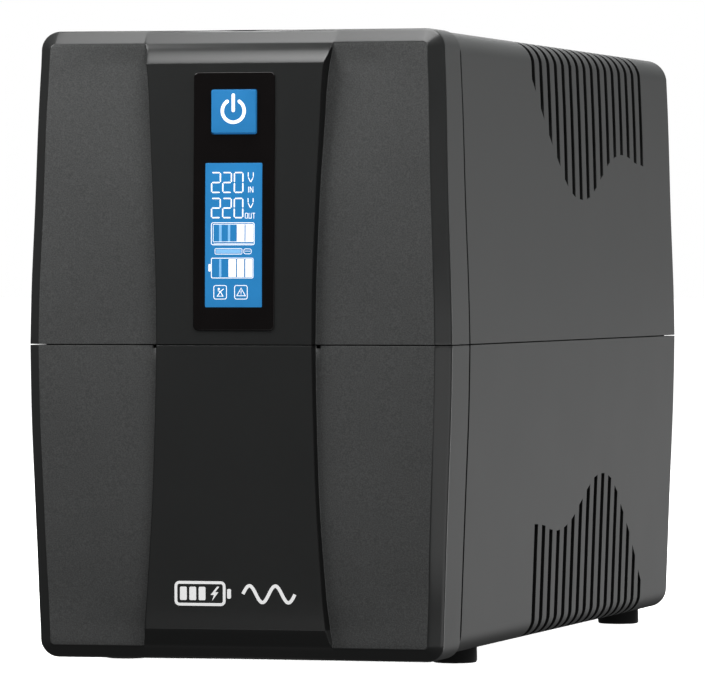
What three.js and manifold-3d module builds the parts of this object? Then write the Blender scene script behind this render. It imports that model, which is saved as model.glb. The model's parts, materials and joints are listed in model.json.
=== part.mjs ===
// Tower uninterruptible power supply: a two-part moulded case with a two-part front bezel,
// a display window with a power button, a rear panel with sockets, inlet, breaker, fan and
// data ports, and the electrical parts inside.
// Millimetres, +Z up, +X to the right seen from the front, the front faces -Y.
// Origin: centre of the footprint, at the height the feet stand on.
import * as THREE from "three";
import { mergeVertices } from "three/addons/utils/BufferGeometryUtils.js";
import Module from "manifold-3d";

// ------------------------------------------------------------------ driving dimensions
const DEPTH_HALF = 158.0; // half of the overall depth
const TOP = 182.0; // top of the bezel
const BODY_TOP = 181.9, BODY_BOTTOM = 4.0; // the case behind the bezel
const SEAM_Z = 92.5, SEAM_GAP = 0.6; // horizontal parting line all round
const BEZEL_BACK = -130.0, CASE_FRONT = -129.6; // vertical parting line behind the bezel
const WALL = 2.5;
const BODY_R_TOP = 7.2, BODY_R_BOTTOM = 6.2, BEZEL_R = 5.3;
const REAR_PLATE = [151.8, 154.4]; // inset rear panel, between the case's rims
const FOOT_R = 6.5, FOOT_H = 5.0, FOOT_X = 49.5, FOOT_Y = [-96, 129];
const SLOT_PITCH = 10.1, SLOT_FIRST_Y = -37.3, SLOT_W = 4.0, SLOT_COUNT = 16, SLOT_IN = 47;
const SLOT_END = [168.8, 160.5, 152.9, 146.5, 140.3, 136.6, 135.4, 135.9, 138.6, 142.6, 146.7, 149.1, 150.0, 149.4, 147.8, 147.1];
const WINDOW = { x: 11.87, z0: 96.6, z1: 169.7, proud: 0.4, deep: 1.6 };
const LCD = { x: 8.3, z0: 103.2, z1: 144.0 };
const BUTTON = { x: 6.55, z0: 152.3, z1: 164.7, front: -158.0, travel: 1.2 };
const OUTLETS = [[-26, 36], [26, 36], [-26, 84], [26, 84]];
const OUTLET_R = 19.5, OUTLET_DEEP = 17.5, OUTLET_BODY_R = 21.5, OUTLET_FLANGE_R = 23;
const FAN = { x: -29, z: 145, size: 50, deep: 15 };
const INLET = { x: 33, z: 151 };
const BREAKER = { x: 45, z: 119.5 };
const SURGE = { x: 17.5, z: 119 };
const USB = { x: 4.6, z: 160 };

// half width of the case at a height, widest at the parting line
const HALF = [[3, 59.2], [12, 59.45], [20, 59.75], [31.5, 60.15], [48.5, 60.8], [77, 61.85], [92.5, 62.1], [105, 61.85], [133.4, 60.8], [156, 60.15], [167, 59.75], [173, 59.45], [182, 59.2]];
// bezel: chamfer's outer edge, chamfer's inner edge, wing's inner edge, centre panel
const CH_OUT_Y = [[3, -150.2], [9, -150.5], [31, -151.0], [48, -151.4], [77, -151.6], [105, -151.6], [133, -151.0], [156, -150.2], [167, -149.3], [182, -149.2]];
const CH_IN_X = [[7.2, 55.2], [9, 55.4], [20, 55.85], [31, 56.3], [48, 56.9], [77, 57.8], [92.5, 58.2], [105, 58.0], [133, 56.9], [156, 56.3], [167, 55.85], [173, 55.6], [178.2, 55.2]];
const CH_IN_Y = [[7.2, -153.8], [9, -153.9], [20, -154.0], [31, -154.9], [48, -155.5], [77, -156.2], [92.5, -156.3], [105, -156.3], [133, -155.5], [156, -154.9], [167, -154.0], [173, -153.8], [178.2, -153.4]];
const WING_IN_Y = [[7.2, -152.6], [12, -152.7], [20, -153.8], [32, -154.6], [49, -155.2], [77, -155.1], [92.5, -154.7], [133, -154.4], [156, -152.4], [167, -151.6], [172.2, -151.0], [178.2, -152.0]];
const PANEL_X = [[3, 27.8], [7.2, 27.5], [12, 26.6], [15, 26.3], [20.5, 25.8], [32, 25.0], [49, 24.0], [77, 23.1], [93, 22.8], [105, 22.9], [133.4, 23.9], [156, 25.0], [167, 25.5], [172.2, 26.2], [178.2, 27.5], [182, 27.6]];
const PANEL_Y = [[7.2, -152.9], [12, -156.5], [20, -157.2], [32, -157.2], [49, -157.6], [77, -157.6], [105, -157.6], [133, -157.3], [156, -156.7], [172.2, -156.6], [175, -154.6], [178.2, -152.3]];

// ------------------------------------------------------------------ small tools
const wasm = await Module();
wasm.setup();
const lerp = (table, t) => {
  if (t <= table[0][0]) return table[0][1];
  for (let i = 1; i < table.length; i++)
    if (t <= table[i][0]) {
      const [a, va] = table[i - 1], [b, vb] = table[i];
      return va + ((vb - va) * (t - a)) / (b - a);
    }
  return table[table.length - 1][1];
};
// a closed three.js geometry as a solid that can be joined and cut
const S = (geometry) => {
  const g = geometry.clone();
  g.deleteAttribute("normal");
  g.deleteAttribute("uv");
  const m = mergeVertices(g, 1e-4);
  return new wasm.Manifold(new wasm.Mesh({
    numProp: 3,
    vertProperties: new Float32Array(m.attributes.position.array),
    triVerts: new Uint32Array(m.index.array),
  }));
};
const G = (s) => {
  const m = s.getMesh(), n = m.numProp, v = new Float32Array(m.numVert * 3);
  for (let i = 0; i < m.numVert; i++) v.set(m.vertProperties.subarray(i * n, i * n + 3), i * 3);
  const g = new THREE.BufferGeometry();
  g.setAttribute("position", new THREE.BufferAttribute(v, 3));
  g.setIndex(new THREE.BufferAttribute(new Uint32Array(m.triVerts), 1));
  g.computeVertexNormals();
  return g;
};
const add = (...s) => s.reduce((a, b) => a.add(b));
const cut = (a, ...s) => s.reduce((x, b) => x.subtract(b), a);
const box = (x0, x1, y0, y1, z0, z1) =>
  S(new THREE.BoxGeometry(x1 - x0, y1 - y0, z1 - z0).translate((x0 + x1) / 2, (y0 + y1) / 2, (z0 + z1) / 2));
const shapeOf = (points) => new THREE.Shape(points.map(([a, b]) => new THREE.Vector2(a, b)));
const holed = (points, ...holes) => {
  const s = shapeOf(points);
  for (const h of holes) s.holes.push(new THREE.Path(h.map(([a, b]) => new THREE.Vector2(a, b))));
  return s;
};
const flatExtrude = (shape, depth) => new THREE.ExtrudeGeometry(shape, { depth, bevelEnabled: false, curveSegments: 6 });
// a shape drawn in X and Z, running along Y
const prismY = (shape, y0, y1) => S(flatExtrude(shape, y1 - y0).rotateX(Math.PI / 2).translate(0, y1, 0));
// a shape drawn in X and Y, running up Z
const prismZ = (shape, z0, z1) => S(flatExtrude(shape, z1 - z0).translate(0, 0, z0));
// a shape drawn in Y and Z, running along X
const cyclic = new THREE.Matrix4().set(0, 0, 1, 0, 1, 0, 0, 0, 0, 1, 0, 0, 0, 0, 0, 1);
const prismX = (shape, x0, x1) => S(flatExtrude(shape, x1 - x0).applyMatrix4(cyclic).translate(x0, 0, 0));
const cylY = (x, z, r, y0, y1, n = 24, r2 = r) =>
  S(new THREE.CylinderGeometry(r2, r, y1 - y0, n).translate(x, (y0 + y1) / 2, z));
const cylZ = (x, y, r, z0, z1, n = 24, r2 = r) =>
  S(new THREE.CylinderGeometry(r2, r, z1 - z0, n).rotateX(Math.PI / 2).translate(x, y, (z0 + z1) / 2));
// rounded rectangle outline, k points a corner
const roundRect = (x0, x1, z0, z1, r, k = 3) => {
  const out = [];
  [[x1 - r, z0 + r, -90], [x1 - r, z1 - r, 0], [x0 + r, z1 - r, 90], [x0 + r, z0 + r, 180]].forEach(([cx, cz, a0]) => {
    for (let i = 0; i <= k; i++) {
      const a = ((a0 + (90 * i) / k) * Math.PI) / 180;
      out.push([cx + r * Math.cos(a), cz + r * Math.sin(a)]);
    }
  });
  return out;
};
// closed loops of [x, y] at given heights, joined into one solid: an extrusion whose rings are moved
const loftShape = (loops, heights) => {
  const base = loops[Math.floor(loops.length / 2)];
  const g = new THREE.ExtrudeGeometry(shapeOf(base), { depth: loops.length - 1, steps: loops.length - 1, bevelEnabled: false });
  const p = g.attributes.position;
  for (let i = 0; i < p.count; i++) {
    const k = Math.round(p.getZ(i));
    let best = 0, d = Infinity;
    base.forEach(([x, y], j) => {
      const e = Math.hypot(x - p.getX(i), y - p.getY(i));
      if (e < d) { d = e; best = j; }
    });
    p.setXYZ(i, loops[k][best][0], loops[k][best][1], heights[k]);
  }
  return g;
};
const loft = (loops, heights) => S(loftShape(loops, heights));

const group = new THREE.Group();
const MATERIALS = {
  case_black: ["#3b3d3c", 0.62, 0], bezel_black: ["#3c3e3d", 0.55, 0], window_gloss: ["#0b0c0c", 0.12, 0],
  lcd_blue: ["#2e86d6", 0.25, 0], button_blue: ["#2e86d6", 0.3, 0], rubber_black: ["#141414", 0.9, 0],
  socket_black: ["#1d1e1e", 0.5, 0], nickel: ["#b9b7b0", 0.3, 1], steel_zinc: ["#9a9c9e", 0.35, 1],
  battery_case: ["#2b2c30", 0.5, 0], terminal_tin: ["#c0bfba", 0.35, 1], core_steel: ["#55575a", 0.5, 0.8],
  winding_tape: ["#c8b04a", 0.6, 0], board_green: ["#1f5c3a", 0.5, 0], heatsink_alu: ["#a9abad", 0.4, 1],
  relay_blue: ["#23457f", 0.4, 0], capacitor_sleeve: ["#1b1d2c", 0.35, 0], lead_red: ["#a01c1c", 0.5, 0],
  lead_black: ["#161616", 0.5, 0], ribbon_grey: ["#8d8f92", 0.6, 0], tray_grey: ["#505254", 0.6, 0],
  breaker_black: ["#151515", 0.45, 0], port_shell: ["#a8a9ab", 0.35, 1], buzzer_black: ["#101010", 0.5, 0],
};
const mats = {};
const node = (name, slot, solid) => {
  const [color, roughness, metalness] = MATERIALS[slot];
  mats[slot] ??= new THREE.MeshStandardMaterial({ color, roughness, metalness, name: slot });
  const mesh = new THREE.Mesh(G(solid), mats[slot]);
  mesh.name = name;
  group.add(mesh);
  return mesh;
};

// ------------------------------------------------------------------ case shells
const half = (z) => lerp(HALF, z);
// right-hand outline from the parting line to the middle of the top, at an inset
const upperOutline = (inset, z0, k = 4) => {
  const r = BODY_R_TOP - inset, zc = BODY_TOP - BODY_R_TOP, xc = half(zc) - BODY_R_TOP;
  const out = [z0, 105, 133.4, 156].map((z) => [half(z) - inset, z]);
  for (let i = 0; i <= k; i++) {
    const a = (i / k) * Math.PI / 2;
    out.push([xc + r * Math.cos(a), zc + r * Math.sin(a)]);
  }
  return out;
};
const lowerOutline = (inset, z0, k = 4) => {
  const r = BODY_R_BOTTOM - inset, zc = BODY_BOTTOM + BODY_R_BOTTOM, xc = half(zc) - BODY_R_BOTTOM;
  const out = [z0, 77, 48.5, 31.5].map((z) => [half(z) - inset, z]);
  for (let i = 0; i <= k; i++) {
    const a = (i / k) * Math.PI / 2;
    out.push([xc + r * Math.cos(a), zc - r * Math.sin(a)]);
  }
  return out;
};
const mirrorX = (points) => points.map(([x, z]) => [-x, z]).reverse();
const seamUp = SEAM_Z + SEAM_GAP / 2, seamDown = SEAM_Z - SEAM_GAP / 2;

// vent slots: vertical slots that wrap over the edge of the case, with ends cut on a slant
const slotTools = (upper, side) => {
  const out = [];
  for (let k = 0; k < SLOT_COUNT; k++) {
    const kk = upper ? k : SLOT_COUNT - 1 - k;
    const y = SLOT_FIRST_Y + SLOT_PITCH * k;
    const slope = (SLOT_END[Math.min(kk + 1, SLOT_COUNT - 1)] - SLOT_END[Math.max(kk - 1, 0)]) / (2 * SLOT_PITCH);
    const lean = Math.max(-1.4, Math.min(1.4, slope * SLOT_W * 0.5)) * (upper ? 1 : -1);
    const end = upper ? SLOT_END[kk] : 2 * SEAM_Z - SLOT_END[kk];
    const far = upper ? BODY_TOP + 5 : -3;
    const pts = upper
      ? [[y - SLOT_W / 2, end - lean], [y + SLOT_W / 2, end + lean], [y + SLOT_W / 2, far], [y - SLOT_W / 2, far]]
      : [[y - SLOT_W / 2, far], [y + SLOT_W / 2, far], [y + SLOT_W / 2, end - lean * -1], [y - SLOT_W / 2, end + lean * -1]];
    out.push(side > 0 ? prismX(shapeOf(pts), SLOT_IN, 66) : prismX(shapeOf(pts), -66, -SLOT_IN));
  }
  return out;
};

let topCover = prismY(shapeOf([...upperOutline(0, seamUp), ...mirrorX(upperOutline(0, seamUp)), ...upperOutline(WALL, seamUp).map(([x, z]) => [-x, z]), ...upperOutline(WALL, seamUp).reverse()]), CASE_FRONT, DEPTH_HALF);
for (const side of [1, -1]) topCover = cut(topCover, ...slotTools(true, side));
node("top_cover", "case_black", topCover);

let base = prismY(shapeOf([...lowerOutline(0, seamDown), ...mirrorX(lowerOutline(0, seamDown)), ...lowerOutline(WALL, seamDown).map(([x, z]) => [-x, z]), ...lowerOutline(WALL, seamDown).reverse()]), CASE_FRONT, DEPTH_HALF);
for (const side of [1, -1]) base = cut(base, ...slotTools(false, side));
// locating tongue that stands up inside the top cover
for (const s of [1, -1]) {
  const p = [[half(92) - WALL + 0.3, 85], [half(92) - WALL + 0.3, 90.5], [half(92) - WALL - 0.35, 91.5], [half(92) - WALL - 0.35, 96], [half(92) - WALL - 1.8, 96], [half(92) - WALL - 1.8, 87]];
  base = base.add(prismY(shapeOf(p.map(([x, z]) => [s * x, z])), -125, 150.8));
}
// foot pockets and counterbored screw holes
const SCREWS = [[-40, 16.6], [40, 16.6], [-40, 116], [40, 116]];
for (const x of [-FOOT_X, FOOT_X]) for (const y of FOOT_Y) base = base.subtract(cylZ(x, y, FOOT_R + 0.35, 2, 4 + 1.3, 20));
for (const [x, y] of SCREWS) {
  base = base.add(cylZ(x, y, 6, 6.0, 16, 10)).subtract(cylZ(x, y, 4.2, 2, 9.0, 12)).subtract(cylZ(x, y, 1.9, 2, 18, 8));
}
node("base_cover", "case_black", base);

let n = 0;
for (const y of FOOT_Y) for (const x of [-FOOT_X, FOOT_X]) {
  const profile = [[0, 0], [FOOT_R - 0.8, 0], [FOOT_R, 0.8], [FOOT_R - 0.1, FOOT_H], [0, FOOT_H]].map(([a, b]) => new THREE.Vector2(a, b));
  node(["foot_front_left", "foot_front_right", "foot_rear_left", "foot_rear_right"][n++], "rubber_black",
    S(new THREE.LatheGeometry(profile, 18).rotateX(Math.PI / 2).translate(x, y, 0)));
}
n = 0;
for (const [x, y] of SCREWS) {
  let s = cylZ(x, y, 3.6, 6.6, 8.6, 12).add(cylZ(x, y, 1.5, 8.5, 15, 8));
  s = s.subtract(box(x - 2, x + 2, y - 0.5, y + 0.5, 6, 7.5)).subtract(box(x - 0.5, x + 0.5, y - 2, y + 2, 6, 7.5));
  node("case_screw_" + ++n, "steel_zinc", s);
}

// ------------------------------------------------------------------ front bezel, two halves
const bezelHalf = (z) => {
  const w = half(z);
  const zt = TOP - BEZEL_R, zb = 3 + BEZEL_R;
  if (z > zt) return half(zt) - BEZEL_R + Math.sqrt(Math.max(0, BEZEL_R ** 2 - (z - zt) ** 2));
  if (z < zb) return half(zb) - BEZEL_R + Math.sqrt(Math.max(0, BEZEL_R ** 2 - (zb - z) ** 2));
  return w;
};
// horizontal section of the bezel at a height: right side first, then the front from right to left
const bezelLoop = (z, inset, back) => {
  const w = bezelHalf(z) - inset;
  const up = z > 178.2, down = z < 7.2;
  const edge = up ? (TOP - z) / (TOP - 178.2) : down ? (z - 3) / 4.2 : 1;
  const yOut = lerp(CH_OUT_Y, z);
  let xIn, yIn, yW, yP;
  const h = lerp(PANEL_X, z);
  if (edge < 1) {
    const ref = up ? 178.2 : 7.2, y0 = yOut - 0.02;
    xIn = bezelHalf(z) - (bezelHalf(ref) - lerp(CH_IN_X, ref)) * edge * 0.9 - 0.05;
    yIn = y0 + (lerp(CH_IN_Y, ref) - y0) * edge;
    yW = y0 + 0.01 + (lerp(WING_IN_Y, ref) - y0) * edge;
    yP = y0 - 0.06 + (lerp(PANEL_Y, ref) - y0) * edge;
  } else {
    xIn = lerp(CH_IN_X, z); yIn = lerp(CH_IN_Y, z); yW = lerp(WING_IN_Y, z); yP = lerp(PANEL_Y, z);
    if (Math.abs(yW - yP) < 0.06) yP = yW - 0.06;
  }
  const i = inset, hx = h + 0.4;
  const right = [[w, back], [w, yOut + i * 0.6], [xIn - i * 0.6, yIn + i], [hx - (i ? i * 0.8 : 0), yW + i], [h - (i ? i * 0.8 : 0), yP + i]];
  return [...right, ...right.map(([x, y]) => [-x, y]).reverse()];
};
const rows = (list, inset, back) => loft(list.map(([z, zz]) => bezelLoop(z, inset, back)), list.map(([z, zz]) => zz ?? z));
const upperZ = [seamUp, 105, 133.4, 156, 167, 172.2, 175, 178.2, 179.6, 180.8, 181.6, 182].map((z) => [z]);
const lowerZ = [3, 3.5, 4.4, 5.8, 7.2, 9.4, 12, 20, 32, 48.5, 77, seamDown].map((z) => [z]);
const upperCav = [[90, 90], [105], [133.4], [156], [167], [172.2], [174.5], [177.4, 176.8], [178.1, 179.2]];
const lowerCav = [[7.3, 5.8], [8.2, 8], [12], [20], [32], [48.5], [77], [95, 95]];
let bezelUpper = rows(upperZ, 0, BEZEL_BACK).subtract(rows(upperCav, WALL, BEZEL_BACK + 6));
const pocket = (margin, y1) => prismY(shapeOf(roundRect(-WINDOW.x - margin, WINDOW.x + margin, WINDOW.z0 - margin, WINDOW.z1 + margin, 1 + margin, 2)), -162, y1);
const windowBack = -154.9; // the window's flat back
bezelUpper = cut(bezelUpper, pocket(0.3, windowBack + 0.3), box(-10.4, 10.4, -163, -140, 98.4, 168.0));
// small notches in the wings' inner corners at the parting line
node("front_bezel_upper", "bezel_black", bezelUpper);
let bezelLower = rows(lowerZ, 0, BEZEL_BACK).subtract(rows(lowerCav, WALL, BEZEL_BACK + 6));
for (const s of [1, -1]) bezelLower = bezelLower.subtract(box(Math.min(s * 23.3, s * 24.8), Math.max(s * 23.3, s * 24.8), -160, -149, 91.6, 94));
node("front_bezel_lower", "bezel_black", bezelLower);

// ------------------------------------------------------------------ display window, display and button
// a plate whose front follows the centre panel's slight curve
const panelY = (z) => lerp(PANEL_Y, z);
const follow = (x, z0, z1, proud, back, r) => {
  const zs = [z0, z0 + 0.35, z0 + r, 105, 133, 156, z1 - r, z1 - 0.35, z1].filter((z) => z >= z0 && z <= z1);
  const loops = zs.map((z) => {
    const t = Math.max(0, r - Math.min(z - z0, z1 - z)), w = x - r + Math.sqrt(Math.max(0, r * r - t * t));
    const y = panelY(z) - proud;
    return [[w, back], [w, y], [-w, y], [-w, back]];
  });
  return loft(loops, zs);
};
let windowPlate = follow(WINDOW.x, WINDOW.z0, WINDOW.z1, WINDOW.proud, windowBack, 1);
windowPlate = windowPlate.subtract(box(-LCD.x - 0.3, LCD.x + 0.3, -165, -150, LCD.z0 - 0.3, LCD.z1 + 0.3));
windowPlate = windowPlate.subtract(prismY(shapeOf(roundRect(-BUTTON.x - 0.3, BUTTON.x + 0.3, BUTTON.z0 - 0.3, BUTTON.z1 + 0.3, 0.7, 2)), -165, -150));
node("display_window", "window_gloss", windowPlate);
node("lcd_screen", "lcd_blue", follow(LCD.x, LCD.z0, LCD.z1, -0.1, windowBack, 0.4));
node("lcd_module", "socket_black", box(-10.0, 10.0, -154.5, -149.6, 99.2, 148.5));
// button cap with a stem that reaches the tact switch
let cap = prismY(shapeOf(roundRect(-BUTTON.x, BUTTON.x, BUTTON.z0, BUTTON.z1, 0.5, 2)), BUTTON.front, -154.6);
const zb = (BUTTON.z0 + BUTTON.z1) / 2;
cap = cap.add(box(-7.6, 7.6, -154.65, -153.7, BUTTON.z0 - 1, BUTTON.z1 + 1)).add(cylY(0, zb, 1.8, -153.8, -150.7, 14));
node("power_button", "button_blue", cap);
node("display_board", "board_green", box(-19, 19, -146.6, -145.0, 97, 170).add(box(-2, 2, -145.2, -141.5, 99.5, 104)));
{
  let sw = box(-3, 3, -149.2, -146.9, zb - 3, zb + 3);
  node("tact_switch", "buzzer_black", sw);
}
node("lcd_spacer", "tray_grey", cut(box(-10, 10, -149.3, -146.9, 100, 147), box(-7, 7, -151, -140, 103, 144)));
node("buzzer", "buzzer_black", cylY(-13.6, 160, 4.4, -144.7, -138.5, 16).subtract(cylY(-13.6, 160, 1, -140, -137, 8)));

// ------------------------------------------------------------------ rear panel and what it carries
const inner = (inset) => {
  const u = upperOutline(inset, SEAM_Z, 4), l = lowerOutline(inset, SEAM_Z, 4).slice(1);
  const right = [...l.reverse(), ...u];
  return [...right, ...mirrorX(right)];
};
const [RY0, RY1] = REAR_PLATE;
let rear = prismY(shapeOf(inner(WALL + 0.3)), RY0, RY1);
for (const [x, z] of OUTLETS) rear = rear.subtract(cylY(x, z, OUTLET_BODY_R + 0.4, 140, 160, 24));
rear = rear.subtract(cylY(FAN.x, FAN.z, 23.6, 140, 160, 24));
rear = rear.subtract(box(INLET.x - 14.3, INLET.x + 14.3, 140, 160, INLET.z - 17.3, INLET.z + 17.3));
rear = rear.subtract(cylY(BREAKER.x, BREAKER.z, 5.9, 140, 160, 20));
rear = rear.subtract(box(SURGE.x - 14.3, SURGE.x + 14.3, 140, 160, SURGE.z - 6.8, SURGE.z + 6.8));
rear = rear.subtract(box(USB.x - 6.3, USB.x + 6.3, 140, 160, USB.z - 5.8, USB.z + 5.8));
for (const sx of [-1, 1]) for (const sz of [-1, 1]) rear = rear.subtract(cylY(FAN.x + sx * 20, FAN.z + sz * 20, 1.7, 140, 160, 10));
node("rear_panel", "case_black", rear);

n = 0;
for (const [x, z] of OUTLETS) {
  n++;
  const f = RY1 + 0.3, front = f + 2.0, floor = front - OUTLET_DEEP;
  // turned body with a rim, a round well and two pin holes
  const p = [[0, floor - 3], [OUTLET_BODY_R, floor - 3], [OUTLET_BODY_R, f], [OUTLET_FLANGE_R, f], [OUTLET_FLANGE_R, front - 0.6], [OUTLET_FLANGE_R - 0.6, front], [OUTLET_R, front], [OUTLET_R, floor], [0, floor]].map(([a, b]) => new THREE.Vector2(a, b));
  let body = S(new THREE.LatheGeometry(p, 20)).translate([x, 0, z]);
  for (const s of [-1, 1]) {
    body = body.subtract(cylY(x + s * 9.5, z, 2.6, floor - 8, floor + 2, 12));
    body = body.subtract(box(x - 3, x + 3, floor - 8, floor + 3, Math.min(z + s * 16.6, z + s * 19.2), Math.max(z + s * 16.6, z + s * 19.2)));
  }
  node("outlet_" + n, "socket_black", body);
  // earth clip: a strip behind the body whose two legs run along the well's wall
  const yb = floor - 3.4;
  let clip = box(x - 2.6, x + 2.6, yb - 1, yb, z - 18.6, z + 18.6);
  for (const s of [-1, 1]) clip = clip.add(box(x - 2.2, x + 2.2, yb - 0.5, front - 4.5, Math.min(z + s * 17.4, z + s * 18.3), Math.max(z + s * 17.4, z + s * 18.3)));
  clip = cut(clip, box(x - 3, x + 3, yb - 2, yb + 1, z - 1, z + 1).subtract(box(x - 1.5, x + 1.5, yb - 3, yb + 2, z - 2, z + 2)));
  node("earth_clip_" + n, "nickel", clip);
}

// appliance inlet with a fuse drawer below it
{
  const f = RY1 + 0.3, x = INLET.x, z = INLET.z;
  let b = box(x - 14, x + 14, f - 20, f + 0.01, z - 17, z + 17).add(prismY(shapeOf(roundRect(x - 17.5, x + 17.5, z - 20.5, z + 20.5, 2, 2)), f, f + 2));
  // six-sided well, chamfered on its two upper corners
  const w = [[x - 12.1, z - 3.4], [x + 12.1, z - 3.4], [x + 12.1, z + 8.5], [x + 8, z + 13.1], [x - 8, z + 13.1], [x - 12.1, z + 8.5]];
  b = b.subtract(prismY(shapeOf(w), f - 15, f + 4));
  b = b.subtract(box(x - 12.3, x + 12.3, f - 18.5, f + 4, z - 15.3, z - 6.1));
  for (const [px, pz] of [[0, 6.6], [-7, 2.4], [7, 2.4]]) b = b.subtract(box(x + px - 1.4, x + px + 1.4, f - 25, f - 10, z + pz - 2.4, z + pz + 2.4));
  node("inlet_body", "socket_black", b);
  [["inlet_pin_earth", 0, 6.6], ["inlet_pin_left", -7, 2.4], ["inlet_pin_right", 7, 2.4]].forEach(([name, px, pz]) => {
    // a flat blade with a tapered tip, stood along Y
    const rings = [[1, 2], [1, 2], [0.55, 1.5]].map(([u, v]) => [[-u, -v], [u, -v], [u, v], [-u, v]]);
    node(name, "nickel", S(loftShape(rings, [f - 26, f - 5.5, f - 4.2]).rotateX(-Math.PI / 2).translate(x + px, 0, z + pz)));
  });
  let d = box(x - 12, x + 12, f - 17.8, f + 1.6, z - 15, z - 6.4);
  d = d.subtract(box(x - 10.5, x + 10.5, f - 16.5, f - 3, z - 13.8, z - 5)); // fuse well, open at the top
  d = d.add(prismY(shapeOf(roundRect(x - 4, x + 4, z - 12, z - 9.6, 0.8, 2)), f + 1.5, f + 2.8)); // grip
  node("fuse_drawer", "breaker_black", d);
  node("fuse", "nickel", S(new THREE.CylinderGeometry(2.5, 2.5, 18, 12).rotateZ(Math.PI / 2).translate(x, f - 9, z - 10.4)));
}

// resettable circuit breaker: threaded neck, nut and push button
{
  const f = RY1 + 0.3, x = BREAKER.x, z = BREAKER.z;
  let b = add(box(x - 8, x + 8, f - 30, f - 3.2, z - 6, z + 6), cylY(x, z, 5.5, f - 3.3, f + 1.2, 20));
  b = b.add(S(new THREE.CylinderGeometry(8.3, 8.3, 1.2, 6).translate(x, f + 0.7, z))).subtract(cylY(x, z, 3.6, f - 12, f + 5, 18));
  node("breaker_body", "breaker_black", b);
  node("breaker_button", "nickel", cylY(x, z, 3.3, f - 8, f + 2.6, 18));
}

// data ports
{
  const f = RY1 + 0.3;
  let s = box(SURGE.x - 14, SURGE.x + 14, f - 14, f + 1, SURGE.z - 6.5, SURGE.z + 6.5);
  for (const d of [-6.9, 6.9]) {
    const x = SURGE.x + d, z = SURGE.z;
    s = s.subtract(box(x - 5.9, x + 5.9, f - 12.5, f + 3, z - 4.6, z + 3.6)).subtract(box(x - 2.9, x + 2.9, f - 12.5, f + 3, z - 6.1, z - 4.5));
  }
  node("surge_port", "socket_black", s);
  let u = box(USB.x - 6, USB.x + 6, f - 14, f + 1, USB.z - 5.5, USB.z + 5.5);
  const w = [[-4.25, -4], [4.25, -4], [4.25, 2.1], [2.5, 3.9], [-2.5, 3.9], [-4.25, 2.1]].map(([a, c]) => [USB.x + a, USB.z + c]);
  u = u.subtract(prismY(shapeOf(w), f - 11.5, f + 3)).add(box(USB.x - 2.8, USB.x + 2.8, f - 12.5, f - 4.5, USB.z - 1.7, USB.z + 1.4));
  node("usb_port", "port_shell", u);
}

// fan: frame, turning rotor and wire guard
{
  const { x, z, size, deep } = FAN, y1 = RY0 - 0.3, y0 = y1 - deep, h = size / 2;
  let fr = prismY(shapeOf(roundRect(x - h, x + h, z - h, z + h, 3, 2)), y0, y1).subtract(cylY(x, z, 23.6, y0 - 1, y1 + 1, 24));
  fr = fr.add(cylY(x, z, 9, y0, y0 + 2, 18));
  for (let k = 0; k < 4; k++) {
    const a = (k * 90 + 45) * Math.PI / 180, c = Math.cos(a), t = Math.sin(a), q = 1.2;
    const p = [[x + 8 * c - q * t, z + 8 * t + q * c], [x + 24.5 * c - q * t, z + 24.5 * t + q * c], [x + 24.5 * c + q * t, z + 24.5 * t - q * c], [x + 8 * c + q * t, z + 8 * t - q * c]];
    fr = fr.add(prismY(shapeOf(p), y0, y0 + 2));
  }
  for (const sx of [-1, 1]) for (const sz of [-1, 1]) fr = fr.subtract(cylY(x + sx * 20, z + sz * 20, 1.7, y0 - 1, y1 + 1, 10));
  node("fan_frame", "socket_black", fr);
  // hub with seven twisted blades
  let ro = cylY(x, z, 9.5, y0 + 2.6, y1 - 0.8, 24);
  for (let k = 0; k < 7; k++) {
    const blade = new THREE.BoxGeometry(15, 8.5, 0.9, 3, 1, 1).translate(15.3, 0, 0);
    const p = blade.attributes.position;
    for (let i = 0; i < p.count; i++) {
      const r = p.getX(i), tw = 0.95 - 0.02 * (r - 8), yy = p.getY(i), zz = p.getZ(i);
      p.setXYZ(i, r, yy * Math.cos(tw) - zz * Math.sin(tw) * 1, yy * Math.sin(tw) * 1 + zz * Math.cos(tw));
    }
    blade.rotateY((k / 7) * 2 * Math.PI).translate(x, (y0 + 2.6 + y1 - 0.8) / 2 + 0.1, z);
    ro = ro.add(S(blade));
  }
  ro = ro.intersect(cylY(x, z, 22.4, y0 + 2.4, y1 - 0.6, 24));
  node("fan_rotor", "socket_black", ro);
  // guard: three rings joined by a cross, held by four eyes
  const g0 = RY1 + 0.3;
  const ring = (r) => S(new THREE.LatheGeometry([[r - 0.8, g0 + 0.2], [r + 0.8, g0 + 0.2], [r + 0.8, g0 + 1.8], [r - 0.8, g0 + 1.8], [r - 0.8, g0 + 0.2]].map(([a, b]) => new THREE.Vector2(a, b)), 20)).translate([x, 0, z]);
  let gd = add(ring(8), ring(15), ring(22));
  for (let k = 0; k < 4; k++) {
    const a = (k * 90 + 45) * Math.PI / 180, c = Math.cos(a), t = Math.sin(a), q = 0.8;
    const p = [[x + 7 * c - q * t, z + 7 * t + q * c], [x + 26 * c - q * t, z + 26 * t + q * c], [x + 26 * c + q * t, z + 26 * t - q * c], [x + 7 * c + q * t, z + 7 * t - q * c]];
    gd = gd.add(prismY(shapeOf(p), g0, g0 + 1.4));
    gd = gd.add(cylY(x + 28.3 * c, z + 28.3 * t, 3.2, g0, g0 + 1.4, 14)).subtract(cylY(x + 28.3 * c, z + 28.3 * t, 1.75, g0 - 1, g0 + 3, 10));
  }
  node("fan_guard", "steel_zinc", gd);
}

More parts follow.
